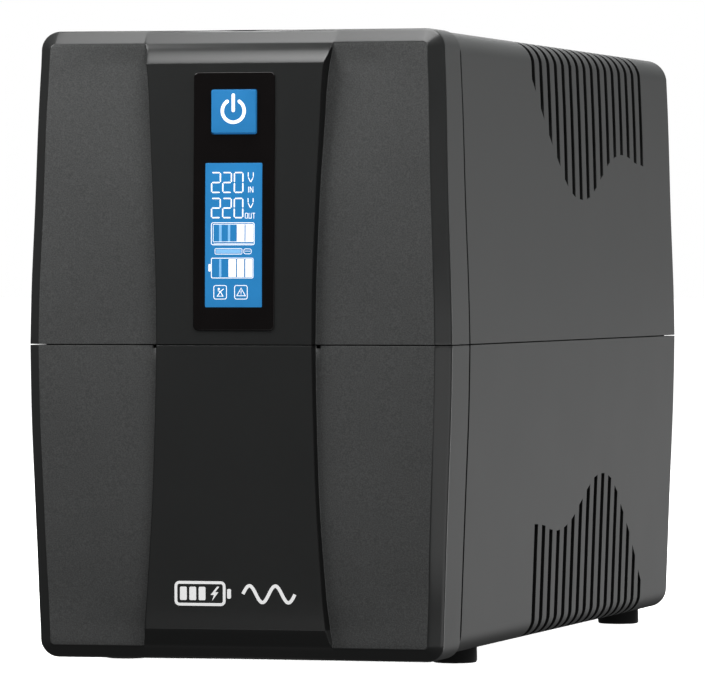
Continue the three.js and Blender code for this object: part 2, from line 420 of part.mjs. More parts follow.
// ------------------------------------------------------------------ inside the case
n = 0;
for (const y0 of [-122, -55]) {
  n++;
  let b = box(-47, 47, y0, y0 + 65, 7.0, 157);
  b = b.add(box(-44, 44, y0 + 2, y0 + 63, 156.9, 158.5));
  node("battery_" + n, "battery_case", b);
  for (const [s, tag] of [[-1, "negative"], [1, "positive"]]) {
    const x = s * 32;
    node("battery_" + n + "_" + tag, "terminal_tin", add(box(x - 4, x + 4, y0 + 47, y0 + 55, 158.8, 159.8), box(x - 3.2, x + 3.2, y0 + 47, y0 + 47.8, 159.7, 166)));
  }
}
// strap bracket over the batteries, with feet on the base
{
  let br = box(-50, 50, -68, -46, 168.2, 169.6);
  for (const s of [-1, 1]) br = br.add(box(Math.min(s * 48.6, s * 50), Math.max(s * 48.6, s * 50), -68, -46, 7.0, 169.6)).add(box(Math.min(s * 48.6, s * 55.2), Math.max(s * 48.6, s * 55.2), -68, -46, 14, 15.4));
  node("battery_bracket", "steel_zinc", br);
}
// transformer: laminated core, winding and mounting frame
{
  const y = 72, z = 48.2;
  let core = box(-48, 48, y - 22.5, y + 22.5, z - 40, z + 40);
  for (const s of [-1, 1]) core = core.subtract(box(Math.min(s * 16, s * 32), Math.max(s * 16, s * 32), y - 30, y + 30, z - 24, z + 24));
  node("transformer_core", "core_steel", core);
  let wnd = prismZ(holed(roundRect(-31.4, 31.4, y - 34, y + 34, 6, 3), roundRect(-16.4, 16.4, y - 22.9, y + 22.9, 0.5, 1).reverse()), z - 23.4, z + 23.4);
  node("transformer_winding", "winding_tape", wnd);
  let fr = box(-50.3, 50.3, y - 15, y + 15, z + 40.3, z + 42);
  for (const s of [-1, 1]) fr = fr.add(box(Math.min(s * 48.4, s * 50.3), Math.max(s * 48.4, s * 50.3), y - 15, y + 15, 7.0, z + 42)).add(box(Math.min(s * 48.4, s * 55.6), Math.max(s * 48.4, s * 55.6), y - 15, y + 15, 14, 15.6));
  node("transformer_frame", "steel_zinc", fr);
}
// tray on four legs that carries the power board over the transformer
{
  let t = box(-54, 54, 20, 131, 106, 108);
  for (const x of [-52, 47]) for (const y of [22, 124]) t = t.add(box(x, x + 5, y, y + 5, 7.0, 107));
  t = t.subtract(box(-40, 40, 40, 100, 100, 110));
  for (const x of [-48, 48]) for (const y of [26, 125]) t = t.add(cylZ(x, y, 3, 107.9, 110.7, 12));
  node("board_tray", "tray_grey", t);
  let pcb = box(-53, 53, 21, 130, 111, 112.6);
  node("main_board", "board_green", pcb);
  let hs = box(-30, 30, 60, 62.5, 112.9, 150);
  for (let k = 0; k < 7; k++) hs = hs.add(box(-30 + k * 9.6, -28.4 + k * 9.6, 62.4, 80, 112.9, 150));
  node("heat_sink", "heatsink_alu", hs);
  node("relay", "relay_blue", box(10, 29, 30, 45, 112.9, 128));
  node("capacitor", "capacitor_sleeve", cylZ(-30, 40, 9, 112.9, 145, 20));
}
// battery leads, each one run along a curve
const lead = (name, slot, pts, r) => {
  const curve = new THREE.CatmullRomCurve3(pts.map((p) => new THREE.Vector3(...p)), false, "catmullrom", 0.4);
  const circle = [];
  for (let i = 0; i < 8; i++) circle.push([r * Math.cos(i * Math.PI / 4), r * Math.sin(i * Math.PI / 4)]);
  node(name, slot, S(new THREE.ExtrudeGeometry(shapeOf(circle), { extrudePath: curve, steps: 26, bevelEnabled: false })));
};
lead("battery_lead_red", "lead_red", [[32, -7.6, 168.2], [33, -3, 173], [36, 8, 172], [41, 24, 158], [44, 46, 136], [44, 62, 122], [44, 68, 114.6]], 1.7);
lead("battery_lead_black", "lead_black", [[-32, -7.6, 168.2], [-33, -3, 173], [-36, 8, 172], [-42, 24, 158], [-46, 46, 136], [-46, 62, 122], [-46, 68, 114.6]], 1.7);
node("ribbon_cable", "ribbon_grey", prismX(shapeOf([[-141.2, 101], [-136, 101], [-131, 105], [-128.5, 120], [-127, 160], [-124, 171.4], [-110, 173.6], [-20, 174.4], [4, 172.4], [12, 164], [13.5, 150], [22, 116], [26, 113.4], [30, 113.4], [30, 114.4], [26.6, 114.4], [23, 117], [14.5, 150.4], [13, 164.4], [4.6, 173.4], [-20, 175.4], [-110, 174.6], [-124.6, 172.4], [-128, 160], [-129.5, 120], [-131.8, 105.6], [-136.3, 102], [-141.2, 102]]), -6, 6));

export default group;
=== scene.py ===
import bpy, bmesh, math, json
from mathutils import Vector, Matrix

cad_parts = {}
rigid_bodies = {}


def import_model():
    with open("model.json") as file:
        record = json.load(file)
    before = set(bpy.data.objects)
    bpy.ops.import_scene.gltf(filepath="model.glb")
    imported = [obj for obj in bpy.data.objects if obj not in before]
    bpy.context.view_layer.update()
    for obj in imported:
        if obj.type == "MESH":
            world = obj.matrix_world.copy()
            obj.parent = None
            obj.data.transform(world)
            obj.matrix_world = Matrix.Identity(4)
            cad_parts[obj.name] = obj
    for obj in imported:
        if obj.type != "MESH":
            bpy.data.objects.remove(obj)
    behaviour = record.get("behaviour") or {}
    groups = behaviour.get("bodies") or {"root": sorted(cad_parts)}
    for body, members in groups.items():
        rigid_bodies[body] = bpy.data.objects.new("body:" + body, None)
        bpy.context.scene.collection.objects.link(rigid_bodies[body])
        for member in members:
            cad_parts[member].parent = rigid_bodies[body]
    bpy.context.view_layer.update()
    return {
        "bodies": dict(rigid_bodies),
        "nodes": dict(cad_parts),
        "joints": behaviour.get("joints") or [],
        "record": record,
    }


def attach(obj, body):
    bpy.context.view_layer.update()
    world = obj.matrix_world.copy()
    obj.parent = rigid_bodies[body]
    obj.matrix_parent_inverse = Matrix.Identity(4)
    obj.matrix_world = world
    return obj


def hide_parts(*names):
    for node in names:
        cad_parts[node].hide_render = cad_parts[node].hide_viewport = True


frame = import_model()
MM = 0.001
NODES = frame["nodes"]
scene = bpy.context.scene

# ------------------------------------------------------------------ tables shared with the design
def table(*pts):
    """Monotone cubic through the points, straight beyond the ends."""
    xs = [p[0] for p in pts]; ys = [p[1] for p in pts]; n = len(xs)
    h = [xs[i + 1] - xs[i] for i in range(n - 1)]
    dl = [(ys[i + 1] - ys[i]) / h[i] for i in range(n - 1)]
    m = [dl[0]] + [0.0 if dl[i - 1] * dl[i] <= 0 else 3 * (h[i - 1] + h[i]) / ((2 * h[i] + h[i - 1]) / dl[i - 1] + (h[i] + 2 * h[i - 1]) / dl[i]) for i in range(1, n - 1)] + [dl[-1]]
    def f(x):
        if x <= xs[0]: return ys[0] + m[0] * (x - xs[0])
        if x >= xs[-1]: return ys[-1] + m[-1] * (x - xs[-1])
        i = max(j for j in range(n - 1) if xs[j] <= x)
        t = (x - xs[i]) / h[i]
        return ((1 + 2 * t) * (1 - t) ** 2) * ys[i] + t * (1 - t) ** 2 * h[i] * m[i] + t * t * (3 - 2 * t) * ys[i + 1] + t * t * (t - 1) * h[i] * m[i + 1]
    return f

SEAM = 92.5
half_up = table((92.5, 62.1), (105, 61.85), (133.4, 60.8), (156, 60.15), (167, 59.75), (173, 59.45), (182, 59.2))
half_lo = table((3, 59.2), (12, 59.45), (20, 59.75), (31.5, 60.15), (48.5, 60.8), (77, 61.85), (92.5, 62.1))
def half(z): return half_up(z) if z >= SEAM else half_lo(z)
out_up = table((92.5, -151.6), (105, -151.6), (133, -151.0), (156, -150.2), (167, -149.6), (182, -149.2))
out_lo = table((3, -150.2), (9, -150.5), (31, -151.0), (48, -151.4), (77, -151.6), (92.5, -151.6))
inx_up = table((92.5, 58.2), (105, 58.0), (133, 56.9), (156, 56.3), (167, 55.85), (173, 55.6), (178.2, 55.2))
inx_lo = table((7.2, 55.2), (9, 55.4), (20, 55.85), (31, 56.3), (48, 56.9), (77, 57.8), (92.5, 58.2))
iny_up = table((92.5, -156.3), (105, -156.3), (133, -155.5), (156, -154.9), (167, -154.0), (173, -153.8), (178.2, -153.4))
iny_lo = table((7.2, -153.8), (9, -153.9), (20, -154.0), (31, -154.9), (48, -155.5), (77, -156.2), (92.5, -156.3))
wing_up = table((92.5, -154.7), (133, -154.4), (156, -152.6), (167, -151.8), (172.2, -151.4), (178.2, -151.9))
wing_lo = table((7.2, -152.6), (12, -152.8), (20, -153.8), (32, -154.6), (49, -155.2), (77, -155.1), (92.5, -154.7))
pan_x_up = table((92.5, 22.8), (105, 22.9), (133.4, 23.9), (156, 25.0), (167, 25.5), (172.2, 26.1), (175, 26.7), (178.2, 27.5), (182, 28.1))
pan_x_lo = table((3, 28.2), (7.2, 27.5), (10, 26.9), (12, 26.6), (15, 26.3), (20.5, 25.8), (32, 25.0), (49, 24.0), (77, 23.1), (92.5, 22.8))
pan_y_up = table((92.5, -157.6), (105, -157.6), (133, -157.3), (156, -156.75), (172.2, -156.6))
pan_y_lo = table((12, -156.6), (20, -157.2), (32, -157.3), (49, -157.55), (77, -157.6), (92.5, -157.6))
slope_up = table((172.2, 0.40), (172.8, 0.95), (173.6, 1.25), (174.4, 1.10), (175.3, 0.78), (176.4, 0.50), (177.3, 0.42), (178.1, 0.66), (178.9, 1.06), (179.4, 1.15), (182, 1.15))
def ramp_table(z_edge, y_edge, z_end, slope):
    n = 60; out = [(z_edge, y_edge)]; y = y_edge
    for i in range(n):
        z = z_edge + (z_end - z_edge) * (i + 0.5) / n
        y += slope(z) * abs(z_end - z_edge) / n
        out.append((z_edge + (z_end - z_edge) * (i + 1) / n, y))
    return out
_r = ramp_table(172.2, -156.6, 182.0, slope_up)
ramp_up = table(*_r)
slope_lo = table((3, 1.15), (6.4, 1.15), (7.4, 0.95), (8.6, 0.62), (10.4, 0.62), (12, 0.42))
_r2 = ramp_table(12.0, -156.6, 3.0, slope_lo)
ramp_lo = table(*reversed(_r2))

SLOT_END = [168.8, 160.5, 152.9, 146.5, 140.3, 136.6, 135.4, 135.9, 138.6, 142.6, 146.7, 149.1, 150.0, 149.4, 147.8, 147.1]
SLOT_Y0, SLOT_P, SLOT_W = -37.3, 10.1, 4.3

# ------------------------------------------------------------------ mesh helpers (all in millimetres)
def new_obj(name, verts, faces, mat=None, body="chassis", replaces=(), slot=None, angle=35, recalc=True, weights=None):
    me = bpy.data.meshes.new(name)
    me.from_pydata([(x * MM, y * MM, z * MM) for x, y, z in verts], [], faces)
    me.validate()
    bm = bmesh.new(); bm.from_mesh(me)
    bmesh.ops.remove_doubles(bm, verts=bm.verts, dist=2e-7)
    bmesh.ops.dissolve_degenerate(bm, edges=bm.edges, dist=1e-7)
    if recalc: bmesh.ops.recalc_face_normals(bm, faces=bm.faces)
    bm.to_mesh(me); bm.free()
    ob = bpy.data.objects.new(name, me)
    scene.collection.objects.link(ob)
    finish_obj(ob, mat, body, replaces, slot, angle)
    return ob

def finish_obj(ob, mat=None, body="chassis", replaces=(), slot=None, angle=35):
    me = ob.data
    if hasattr(me, "shade_smooth"):
        me.shade_smooth()
        if angle < 179: me.set_sharp_from_angle(angle=math.radians(angle))
    if mat is not None:
        keep = [p.material_index for p in me.polygons]
        me.materials.clear()
        for m in (mat if isinstance(mat, (list, tuple)) else [mat]): me.materials.append(m)
        me.polygons.foreach_set("material_index", [min(k, len(me.materials) - 1) for k in keep])
    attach(ob, body)
    if replaces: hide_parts(*replaces)
    return ob

def bevel(ob, width, segments=3, angle=40, weighted=True):
    m = ob.modifiers.new("edge", "BEVEL")
    m.width = width * MM; m.segments = segments; m.limit_method = "ANGLE"; m.angle_limit = math.radians(angle)
    m.miter_outer = "MITER_ARC"; m.harden_normals = False
    if weighted:
        w = ob.modifiers.new("shade", "WEIGHTED_NORMAL"); w.keep_sharp = True; w.weight = 60
    return ob

def join(name, objs, mat=None, body="chassis", replaces=(), slot=None, angle=35):
    """One object from several, with their modifiers applied."""
    dg = bpy.context.evaluated_depsgraph_get()
    bm = bmesh.new(); mats = []
    for o in objs:
        me = bpy.data.meshes.new_from_object(o.evaluated_get(dg), depsgraph=dg)
        me.transform(o.matrix_world)
        remap = {}
        for i, m in enumerate(me.materials):
            if m not in mats: mats.append(m)
            remap[i] = mats.index(m)
        for p in me.polygons: p.material_index = remap.get(p.material_index, 0)
        bm.from_mesh(me)
        bpy.data.meshes.remove(me)
    me = bpy.data.meshes.new(name); bm.to_mesh(me); bm.free()
    for o in objs: bpy.data.objects.remove(o)
    ob = bpy.data.objects.new(name, me); scene.collection.objects.link(ob)
    return finish_obj(ob, mat if mat is not None else mats, body, replaces, slot, angle)

def lathe(name, prof, c, axis="Y", n=64, **kw):
    """prof: (radius, position along the axis); c: the axis's place in the other two coordinates."""
    verts, faces = [], []
    for r, t in prof:
        for i in range(n):
            a = 2 * math.pi * i / n
            u, v = r * math.cos(a), r * math.sin(a)
            verts.append((c[0] + u, t, c[1] + v) if axis == "Y" else (c[0] + u, c[1] + v, t))
    k = len(prof)
    for j in range(k - 1):
        for i in range(n):
            faces.append((j * n + i, j * n + (i + 1) % n, (j + 1) * n + (i + 1) % n, (j + 1) * n + i))
    return new_obj(name, verts, faces, **kw)

def rr(x0, x1, z0, z1, r, k=6):
    out = []
    for cx, cz, a0 in ((x1 - r, z0 + r, -90), (x1 - r, z1 - r, 0), (x0 + r, z1 - r, 90), (x0 + r, z0 + r, 180)):
        for i in range(k + 1):
            a = math.radians(a0 + 90 * i / k)
            out.append((cx + r * math.cos(a), cz + r * math.sin(a)))
    return out

def circle(x, z, r, n=48, a0=0.0):
    return [(x + r * math.cos(a0 + 2 * math.pi * i / n), z + r * math.sin(a0 + 2 * math.pi * i / n)) for i in range(n)]

def plate(name, outlines, y0, y1, edge=0.3, res=2, axis="Y", **kw):
    """A flat piece with holes and rounded edges: outlines drawn in X and Z (or X and Y), the first one outside."""
    cu = bpy.data.curves.new(name + "_c", "CURVE"); cu.dimensions = "2D"; cu.fill_mode = "BOTH"
    for pts in outlines:
        sp = cu.splines.new("POLY"); sp.points.add(len(pts) - 1); sp.use_cyclic_u = True
        for p, (a, b) in zip(sp.points, pts): p.co = (a * MM, b * MM, 0, 1)
    t = (y1 - y0) / 2
    cu.extrude = max(t - edge, 1e-3) * MM; cu.bevel_depth = edge * MM; cu.bevel_resolution = res; cu.offset = -edge * MM
    tmp = bpy.data.objects.new(name + "_t", cu); scene.collection.objects.link(tmp)
    dg = bpy.context.evaluated_depsgraph_get()
    me = bpy.data.meshes.new_from_object(tmp.evaluated_get(dg), depsgraph=dg)
    bpy.data.objects.remove(tmp); bpy.data.curves.remove(cu)
    if axis == "Y":
        me.transform(Matrix(((1, 0, 0, 0), (0, 0, -1, (y0 + y1) / 2 * MM), (0, 1, 0, 0), (0, 0, 0, 1))))
    else:
        me.transform(Matrix.Translation((0, 0, (y0 + y1) / 2 * MM)))
    bm = bmesh.new(); bm.from_mesh(me)
    bmesh.ops.remove_doubles(bm, verts=bm.verts, dist=1e-6)
    bmesh.ops.recalc_face_normals(bm, faces=bm.faces)
    bm.to_mesh(me); bm.free(); me.name = name
    ob = bpy.data.objects.new(name, me); scene.collection.objects.link(ob)
    return finish_obj(ob, angle=kw.pop("angle", 30), **kw)

def block(name, lo, hi, edge=0.4, seg=3, **kw):
    """A box with rounded edges, built with its bevel in the mesh."""
    bm = bmesh.new(); bmesh.ops.create_cube(bm, size=1.0)
    for v in bm.verts:
        v.co = Vector([(lo[i] + hi[i]) / 2 * MM + v.co[i] * (hi[i] - lo[i]) * MM for i in range(3)])
    bmesh.ops.bevel(bm, geom=list(bm.edges), offset=edge * MM, segments=seg, profile=0.5, affect="EDGES")
    me = bpy.data.meshes.new(name); bm.to_mesh(me); bm.free()
    ob = bpy.data.objects.new(name, me); scene.collection.objects.link(ob)
    return finish_obj(ob, angle=kw.pop("angle", 30), **kw)

def wire(name, pts, r, cyclic=False, n=10, **kw):
    """Round wire along points."""
    verts, faces, m = [], [], len(pts)
    P = [Vector(p) for p in pts]
    up = None
    for i, p in enumerate(P):
        a = P[(i - 1) % m] if (cyclic or i > 0) else p
        b = P[(i + 1) % m] if (cyclic or i < m - 1) else p
        t = (b - a).normalized()
        if up is None: up = t.orthogonal().normalized()
        up = (up - t * up.dot(t)).normalized(); w = t.cross(up)
        for k in range(n):
            g = 2 * math.pi * k / n
            verts.append(tuple(p + (up * math.cos(g) + w * math.sin(g)) * r))
    rng = m if cyclic else m - 1
    for i in range(rng):
        for k in range(n):
            j = (i + 1) % m
            faces.append((i * n + k, i * n + (k + 1) % n, j * n + (k + 1) % n, j * n + k))
    if not cyclic:
        faces.append(tuple(range(n - 1, -1, -1))); faces.append(tuple((m - 1) * n + k for k in range(n)))
    return new_obj(name, verts, faces, **kw)

def thicken(outer, faces, inner):
    """Closes a skin: adds the inner skin, turned round, and a wall along every free edge."""
    n = len(outer); count = {}
    for f in faces:
        for i in range(len(f)):
            e = (f[i], f[(i + 1) % len(f)])
            count[tuple(sorted(e))] = count.get(tuple(sorted(e)), 0) + 1
    out = list(faces) + [tuple(v + n for v in reversed(f)) for f in faces]
    rim = []
    for f in faces:
        for i in range(len(f)):
            a, b = f[i], f[(i + 1) % len(f)]
            if count[tuple(sorted((a, b)))] == 1:
                out.append((b, a, a + n, b + n)); rim.append((a, b))
    return list(outer) + list(inner), out, rim

def edge_bevel(ob, pairs, scale=1.0, width=0.5, segments=3):
    """Bevel by weight: pairs is a list of (test(mid point in mm, direction) -> weight)."""
    me = ob.data
    at = me.attributes.get("bevel_weight_edge") or me.attributes.new("bevel_weight_edge", "FLOAT", "EDGE")
    vals = []
    bm = bmesh.new(); bm.from_mesh(me); bm.edges.ensure_lookup_table()
    for e in bm.edges:
        w = 0.0
        if len(e.link_faces) == 2 and e.calc_face_angle(0) > math.radians(50):
            mid = (e.verts[0].co + e.verts[1].co) / 2 / MM
            w = pairs(mid)
        vals.append(w)
    bm.free()
    at.data.foreach_set("value", vals)
    m = ob.modifiers.new("edge", "BEVEL"); m.width = width * MM; m.segments = segments; m.limit_method = "WEIGHT"
    m.miter_outer = "MITER_ARC"
    w = ob.modifiers.new("shade", "WEIGHTED_NORMAL"); w.keep_sharp = False; w.weight = 60
    return ob

# ------------------------------------------------------------------ materials
def lin(v):
    v = v / 255.0
    return v / 12.92 if v <= 0.04045 else ((v + 0.055) / 1.055) ** 2.4
def rgb(r, g, b): return (lin(r), lin(g), lin(b), 1.0)

def material(name, base, rough, var=0.12, rvar=0.08, scale=900.0, bump=0.0, bump_scale=2600.0, bump_dist=0.06, metal=0.0, spec=0.5, coat=0.0, coat_rough=0.1,
             convex_lift=0.0, stretch=None, detail=4.0, emit=None, emit_strength=0.0, sheen=0.0, speck=0.0, speck_scale=2200.0, bump2=0.0, bump2_scale=300.0):
    """Plastic, rubber or metal: colour and roughness vary over the surface, with a fine grain in the normal."""
    m = bpy.data.materials.new(name); m.use_nodes = True
    nt = m.node_tree; nd = nt.nodes; lk = nt.links; nd.clear()
    out = nd.new("ShaderNodeOutputMaterial"); bs = nd.new("ShaderNodeBsdfPrincipled"); lk.new(bs.outputs["BSDF"], out.inputs["Surface"])
    tc = nd.new("ShaderNodeTexCoord"); mp = nd.new("ShaderNodeMapping"); lk.new(tc.outputs["Object"], mp.inputs["Vector"])
    if stretch: mp.inputs["Scale"].default_value = stretch
    n1 = nd.new("ShaderNodeTexNoise"); n1.inputs["Scale"].default_value = scale; n1.inputs["Detail"].default_value = detail; n1.inputs["Roughness"].default_value = 0.6
    lk.new(mp.outputs["Vector"], n1.inputs["Vector"])
    n2 = nd.new("ShaderNodeTexNoise"); n2.inputs["Scale"].default_value = 38.0; n2.inputs["Detail"].default_value = 3.0
    lk.new(tc.outputs["Object"], n2.inputs["Vector"])
    mix = nd.new("ShaderNodeMath"); mix.operation = "ADD"; lk.new(n1.outputs["Fac"], mix.inputs[0]); lk.new(n2.outputs["Fac"], mix.inputs[1])
    half_n = nd.new("ShaderNodeMath"); half_n.operation = "MULTIPLY"; half_n.inputs[1].default_value = 0.5; lk.new(mix.outputs[0], half_n.inputs[0])
    cr = nd.new("ShaderNodeValToRGB")
    cr.color_ramp.elements[0].position = 0.34; cr.color_ramp.elements[1].position = 0.66
    lo = tuple(max(0.0, c * (1 - var)) for c in base[:3]) + (1,); hi = tuple(min(1.0, c * (1 + var)) for c in base[:3]) + (1,)
    cr.color_ramp.elements[0].color = lo; cr.color_ramp.elements[1].color = hi
    lk.new(half_n.outputs[0], cr.inputs["Fac"])
    color_out = cr.outputs["Color"]
    if speck > 0:
        n3 = nd.new("ShaderNodeTexNoise"); n3.inputs["Scale"].default_value = speck_scale; n3.inputs["Detail"].default_value = 1.0
        lk.new(tc.outputs["Object"], n3.inputs["Vector"])
        c3 = nd.new("ShaderNodeValToRGB"); c3.color_ramp.elements[0].position = 0.35; c3.color_ramp.elements[1].position = 0.68
        c3.color_ramp.elements[0].color = (1 - speck,) * 3 + (1,); c3.color_ramp.elements[1].color = (1 + speck * 0.9,) * 3 + (1,)
        lk.new(n3.outputs["Fac"], c3.inputs["Fac"])
        mm = nd.new("ShaderNodeMix"); mm.data_type = "RGBA"; mm.blend_type = "MULTIPLY"; mm.inputs["Factor"].default_value = 1.0
        lk.new(color_out, mm.inputs["A"]); lk.new(c3.outputs["Color"], mm.inputs["B"]); color_out = mm.outputs["Result"]
    # lightens the colour on convex edges, by pointiness
    if convex_lift > 0:
        geo = nd.new("ShaderNodeNewGeometry"); wr = nd.new("ShaderNodeValToRGB")
        wr.color_ramp.elements[0].position = 0.52; wr.color_ramp.elements[1].position = 0.62
        wr.color_ramp.elements[0].color = (1, 1, 1, 1); wr.color_ramp.elements[1].color = (1 + convex_lift, 1 + convex_lift, 1 + convex_lift, 1)
        lk.new(geo.outputs["Pointiness"], wr.inputs["Fac"])
        mw = nd.new("ShaderNodeMix"); mw.data_type = "RGBA"; mw.blend_type = "MULTIPLY"; mw.inputs["Factor"].default_value = 1.0
        lk.new(color_out, mw.inputs["A"]); lk.new(wr.outputs["Color"], mw.inputs["B"]); color_out = mw.outputs["Result"]
    lk.new(color_out, bs.inputs["Base Color"])
    mr = nd.new("ShaderNodeMapRange"); mr.inputs["From Min"].default_value = 0.3; mr.inputs["From Max"].default_value = 0.7
    mr.inputs["To Min"].default_value = max(0.02, rough - rvar); mr.inputs["To Max"].default_value = min(1.0, rough + rvar)
    lk.new(half_n.outputs[0], mr.inputs["Value"]); lk.new(mr.outputs["Result"], bs.inputs["Roughness"])
    bs.inputs["Metallic"].default_value = metal; bs.inputs["Specular IOR Level"].default_value = spec
    if coat: bs.inputs["Coat Weight"].default_value = coat; bs.inputs["Coat Roughness"].default_value = coat_rough
    if sheen: bs.inputs["Sheen Weight"].default_value = sheen
    if bump > 0:
        nb = nd.new("ShaderNodeTexNoise"); nb.inputs["Scale"].default_value = bump_scale; nb.inputs["Detail"].default_value = 2.5; nb.inputs["Roughness"].default_value = 0.55
        lk.new(mp.outputs["Vector"], nb.inputs["Vector"])
        height = nb.outputs["Fac"]
        if bump2 > 0:
            nb2 = nd.new("ShaderNodeTexNoise"); nb2.inputs["Scale"].default_value = bump2_scale; nb2.inputs["Detail"].default_value = 2.0
            lk.new(mp.outputs["Vector"], nb2.inputs["Vector"])
            ml = nd.new("ShaderNodeMath"); ml.operation = "MULTIPLY_ADD"; ml.inputs[1].default_value = bump2
            lk.new(nb2.outputs["Fac"], ml.inputs[0]); lk.new(height, ml.inputs[2]); height = ml.outputs[0]
        bp = nd.new("ShaderNodeBump"); bp.inputs["Strength"].default_value = bump; bp.inputs["Distance"].default_value = bump_dist * MM
        lk.new(height, bp.inputs["Height"]); lk.new(bp.outputs["Normal"], bs.inputs["Normal"])
        if coat: pass
    if emit:
        bs.inputs["Emission Color"].default_value = emit; bs.inputs["Emission Strength"].default_value = emit_strength
    return m

M = {}
M["case"] = material("case_moulded", (0.069, 0.0715, 0.0708), 0.58, var=0.03, rvar=0.015, scale=1400, bump=0.30, bump_scale=2400, bump_dist=0.035, spec=0.40)
M["wing"] = material("wing_grain", (0.083, 0.085, 0.0845), 0.62, var=0.05, rvar=0.05, scale=1700, bump=0.8, bump_scale=3200, bump_dist=0.05, spec=0.34, speck=0.22, speck_scale=2700, convex_lift=0.15)
M["satin"] = material("panel_satin", (0.0260, 0.0270, 0.0267), 0.29, var=0.04, rvar=0.015, scale=500, bump=0.12, bump_scale=2800, bump_dist=0.02, spec=0.44)
M["window"] = material("window_gloss", (0.0062, 0.0049, 0.0049), 0.09, var=0.2, rvar=0.03, scale=120, bump=0.03, bump_scale=180, bump_dist=0.03, spec=0.4)
M["lcd"] = material("display_blue", rgb(36, 116, 172), 0.32, var=0.05, rvar=0.05, scale=260, bump=0.05, bump_scale=4200, bump_dist=0.01, spec=0.3, emit=rgb(50, 141, 208), emit_strength=0.43)
M["button"] = material("button_blue", rgb(38, 116, 172), 0.34, var=0.05, rvar=0.05, scale=420, bump=0.10, bump_scale=3600, bump_dist=0.015, spec=0.35, emit=rgb(50, 138, 205), emit_strength=0.39, convex_lift=0.12)
M["white"] = material("glyph_white", (0.9, 0.9, 0.9), 0.45, var=0.03, rvar=0.04, scale=700, bump=0.05, bump_scale=3000, bump_dist=0.01, spec=0.3, emit=(1, 1, 1, 1), emit_strength=0.75)
# white print with emission: painted glow, the ink is no lamp
M["print"] = material("print_white", (0.86, 0.86, 0.86), 0.5, var=0.04, rvar=0.05, scale=900, bump=0.12, bump_scale=3600, bump_dist=0.012, spec=0.3, emit=(1, 1, 1, 1), emit_strength=0.35)
M["rubber"] = material("foot_rubber", (0.010, 0.010, 0.0102), 0.82, var=0.2, rvar=0.08, scale=700, bump=0.5, bump_scale=1800, bump_dist=0.05, spec=0.25, sheen=0.15)
M["socket"] = material("socket_black", (0.014, 0.014, 0.0145), 0.42, var=0.1, rvar=0.06, scale=800, bump=0.2, bump_scale=2600, bump_dist=0.03, spec=0.45, convex_lift=0.4)
M["rear"] = material("rear_satin", (0.026, 0.027, 0.027), 0.5, var=0.07, rvar=0.06, scale=900, bump=0.45, bump_scale=2000, bump_dist=0.04, spec=0.4, convex_lift=0.3)
M["module"] = material("module_black", (0.018, 0.018, 0.019), 0.5, var=0.1, rvar=0.06, bump=0.2, spec=0.4)
M["nickel"] = material("nickel_plate", (0.56, 0.54, 0.50), 0.28, var=0.08, rvar=0.08, scale=500, bump=0.15, bump_scale=2200, bump_dist=0.02, metal=1.0, stretch=(1, 0.12, 1))
M["zinc"] = material("zinc_plate", (0.50, 0.51, 0.53), 0.34, var=0.10, rvar=0.10, scale=300, bump=0.18, bump_scale=1500, bump_dist=0.03, metal=1.0)
M["steel_dark"] = material("screw_steel", (0.10, 0.10, 0.105), 0.36, var=0.15, rvar=0.1, scale=500, bump=0.2, metal=1.0)
M["fuse_glass"] = material("fuse_body", (0.62, 0.61, 0.56), 0.2, var=0.1, rvar=0.06, scale=300, spec=0.5, bump=0.08)
M["gold"] = material("contact_gold", (0.78, 0.55, 0.20), 0.28, var=0.08, rvar=0.06, scale=500, metal=1.0, bump=0.1)
M["tin"] = material("terminal_tin", (0.58, 0.58, 0.55), 0.38, var=0.12, rvar=0.1, scale=400, metal=1.0, bump=0.2)
M["battery"] = material("battery_case", (0.022, 0.023, 0.028), 0.48, var=0.12, rvar=0.08, scale=400, bump=0.3, bump_scale=1600, spec=0.4, convex_lift=0.3)
M["core"] = material("laminations", (0.07, 0.072, 0.078), 0.42, var=0.35, rvar=0.12, scale=500, bump=0.9, bump_scale=1500, bump_dist=0.12, metal=0.6, stretch=(0.02, 1, 0.02))
M["winding"] = material("winding_tape", (0.62, 0.42, 0.09), 0.4, var=0.22, rvar=0.1, scale=420, bump=0.8, bump_scale=900, bump_dist=0.1, spec=0.45, stretch=(0.15, 0.15, 1))
M["pcb"] = material("solder_mask", (0.008, 0.10, 0.040), 0.36, var=0.35, rvar=0.12, scale=300, bump=0.4, bump_scale=900, bump_dist=0.05, spec=0.5, stretch=(1, 0.25, 1))
M["alu"] = material("heat_sink_alu", (0.55, 0.55, 0.56), 0.38, var=0.08, rvar=0.1, scale=600, bump=0.35, bump_scale=1800, bump_dist=0.03, metal=1.0, stretch=(1, 1, 0.05))
M["relay"] = material("relay_blue", (0.018, 0.055, 0.22), 0.38, var=0.08, rvar=0.06, bump=0.15, spec=0.45, convex_lift=0.2)
M["cap"] = material("capacitor_sleeve", (0.008, 0.010, 0.030), 0.26, var=0.12, rvar=0.06, scale=300, bump=0.2, bump_scale=700, spec=0.5)
M["red"] = material("lead_red", (0.36, 0.012, 0.010), 0.46, var=0.1, rvar=0.07, scale=500, bump=0.2, spec=0.4)
M["black"] = material("lead_black", (0.012, 0.012, 0.012), 0.48, var=0.12, rvar=0.07, scale=500, bump=0.2, spec=0.4)
M["ribbon"] = material("ribbon_grey", (0.30, 0.31, 0.33), 0.5, var=0.1, rvar=0.06, scale=1200, bump=0.9, bump_scale=1300, bump_dist=0.12, stretch=(1, 0.02, 0.02))
M["tray"] = material("tray_grey", (0.075, 0.08, 0.085), 0.55, var=0.06, rvar=0.06, bump=0.3, spec=0.35)
M["greywhite"] = material("reset_white", (0.62, 0.61, 0.58), 0.42, var=0.04, rvar=0.05, bump=0.12, spec=0.4, convex_lift=0.1)
M["port"] = material("port_shell", (0.60, 0.60, 0.61), 0.26, var=0.06, rvar=0.06, metal=1.0, bump=0.1)
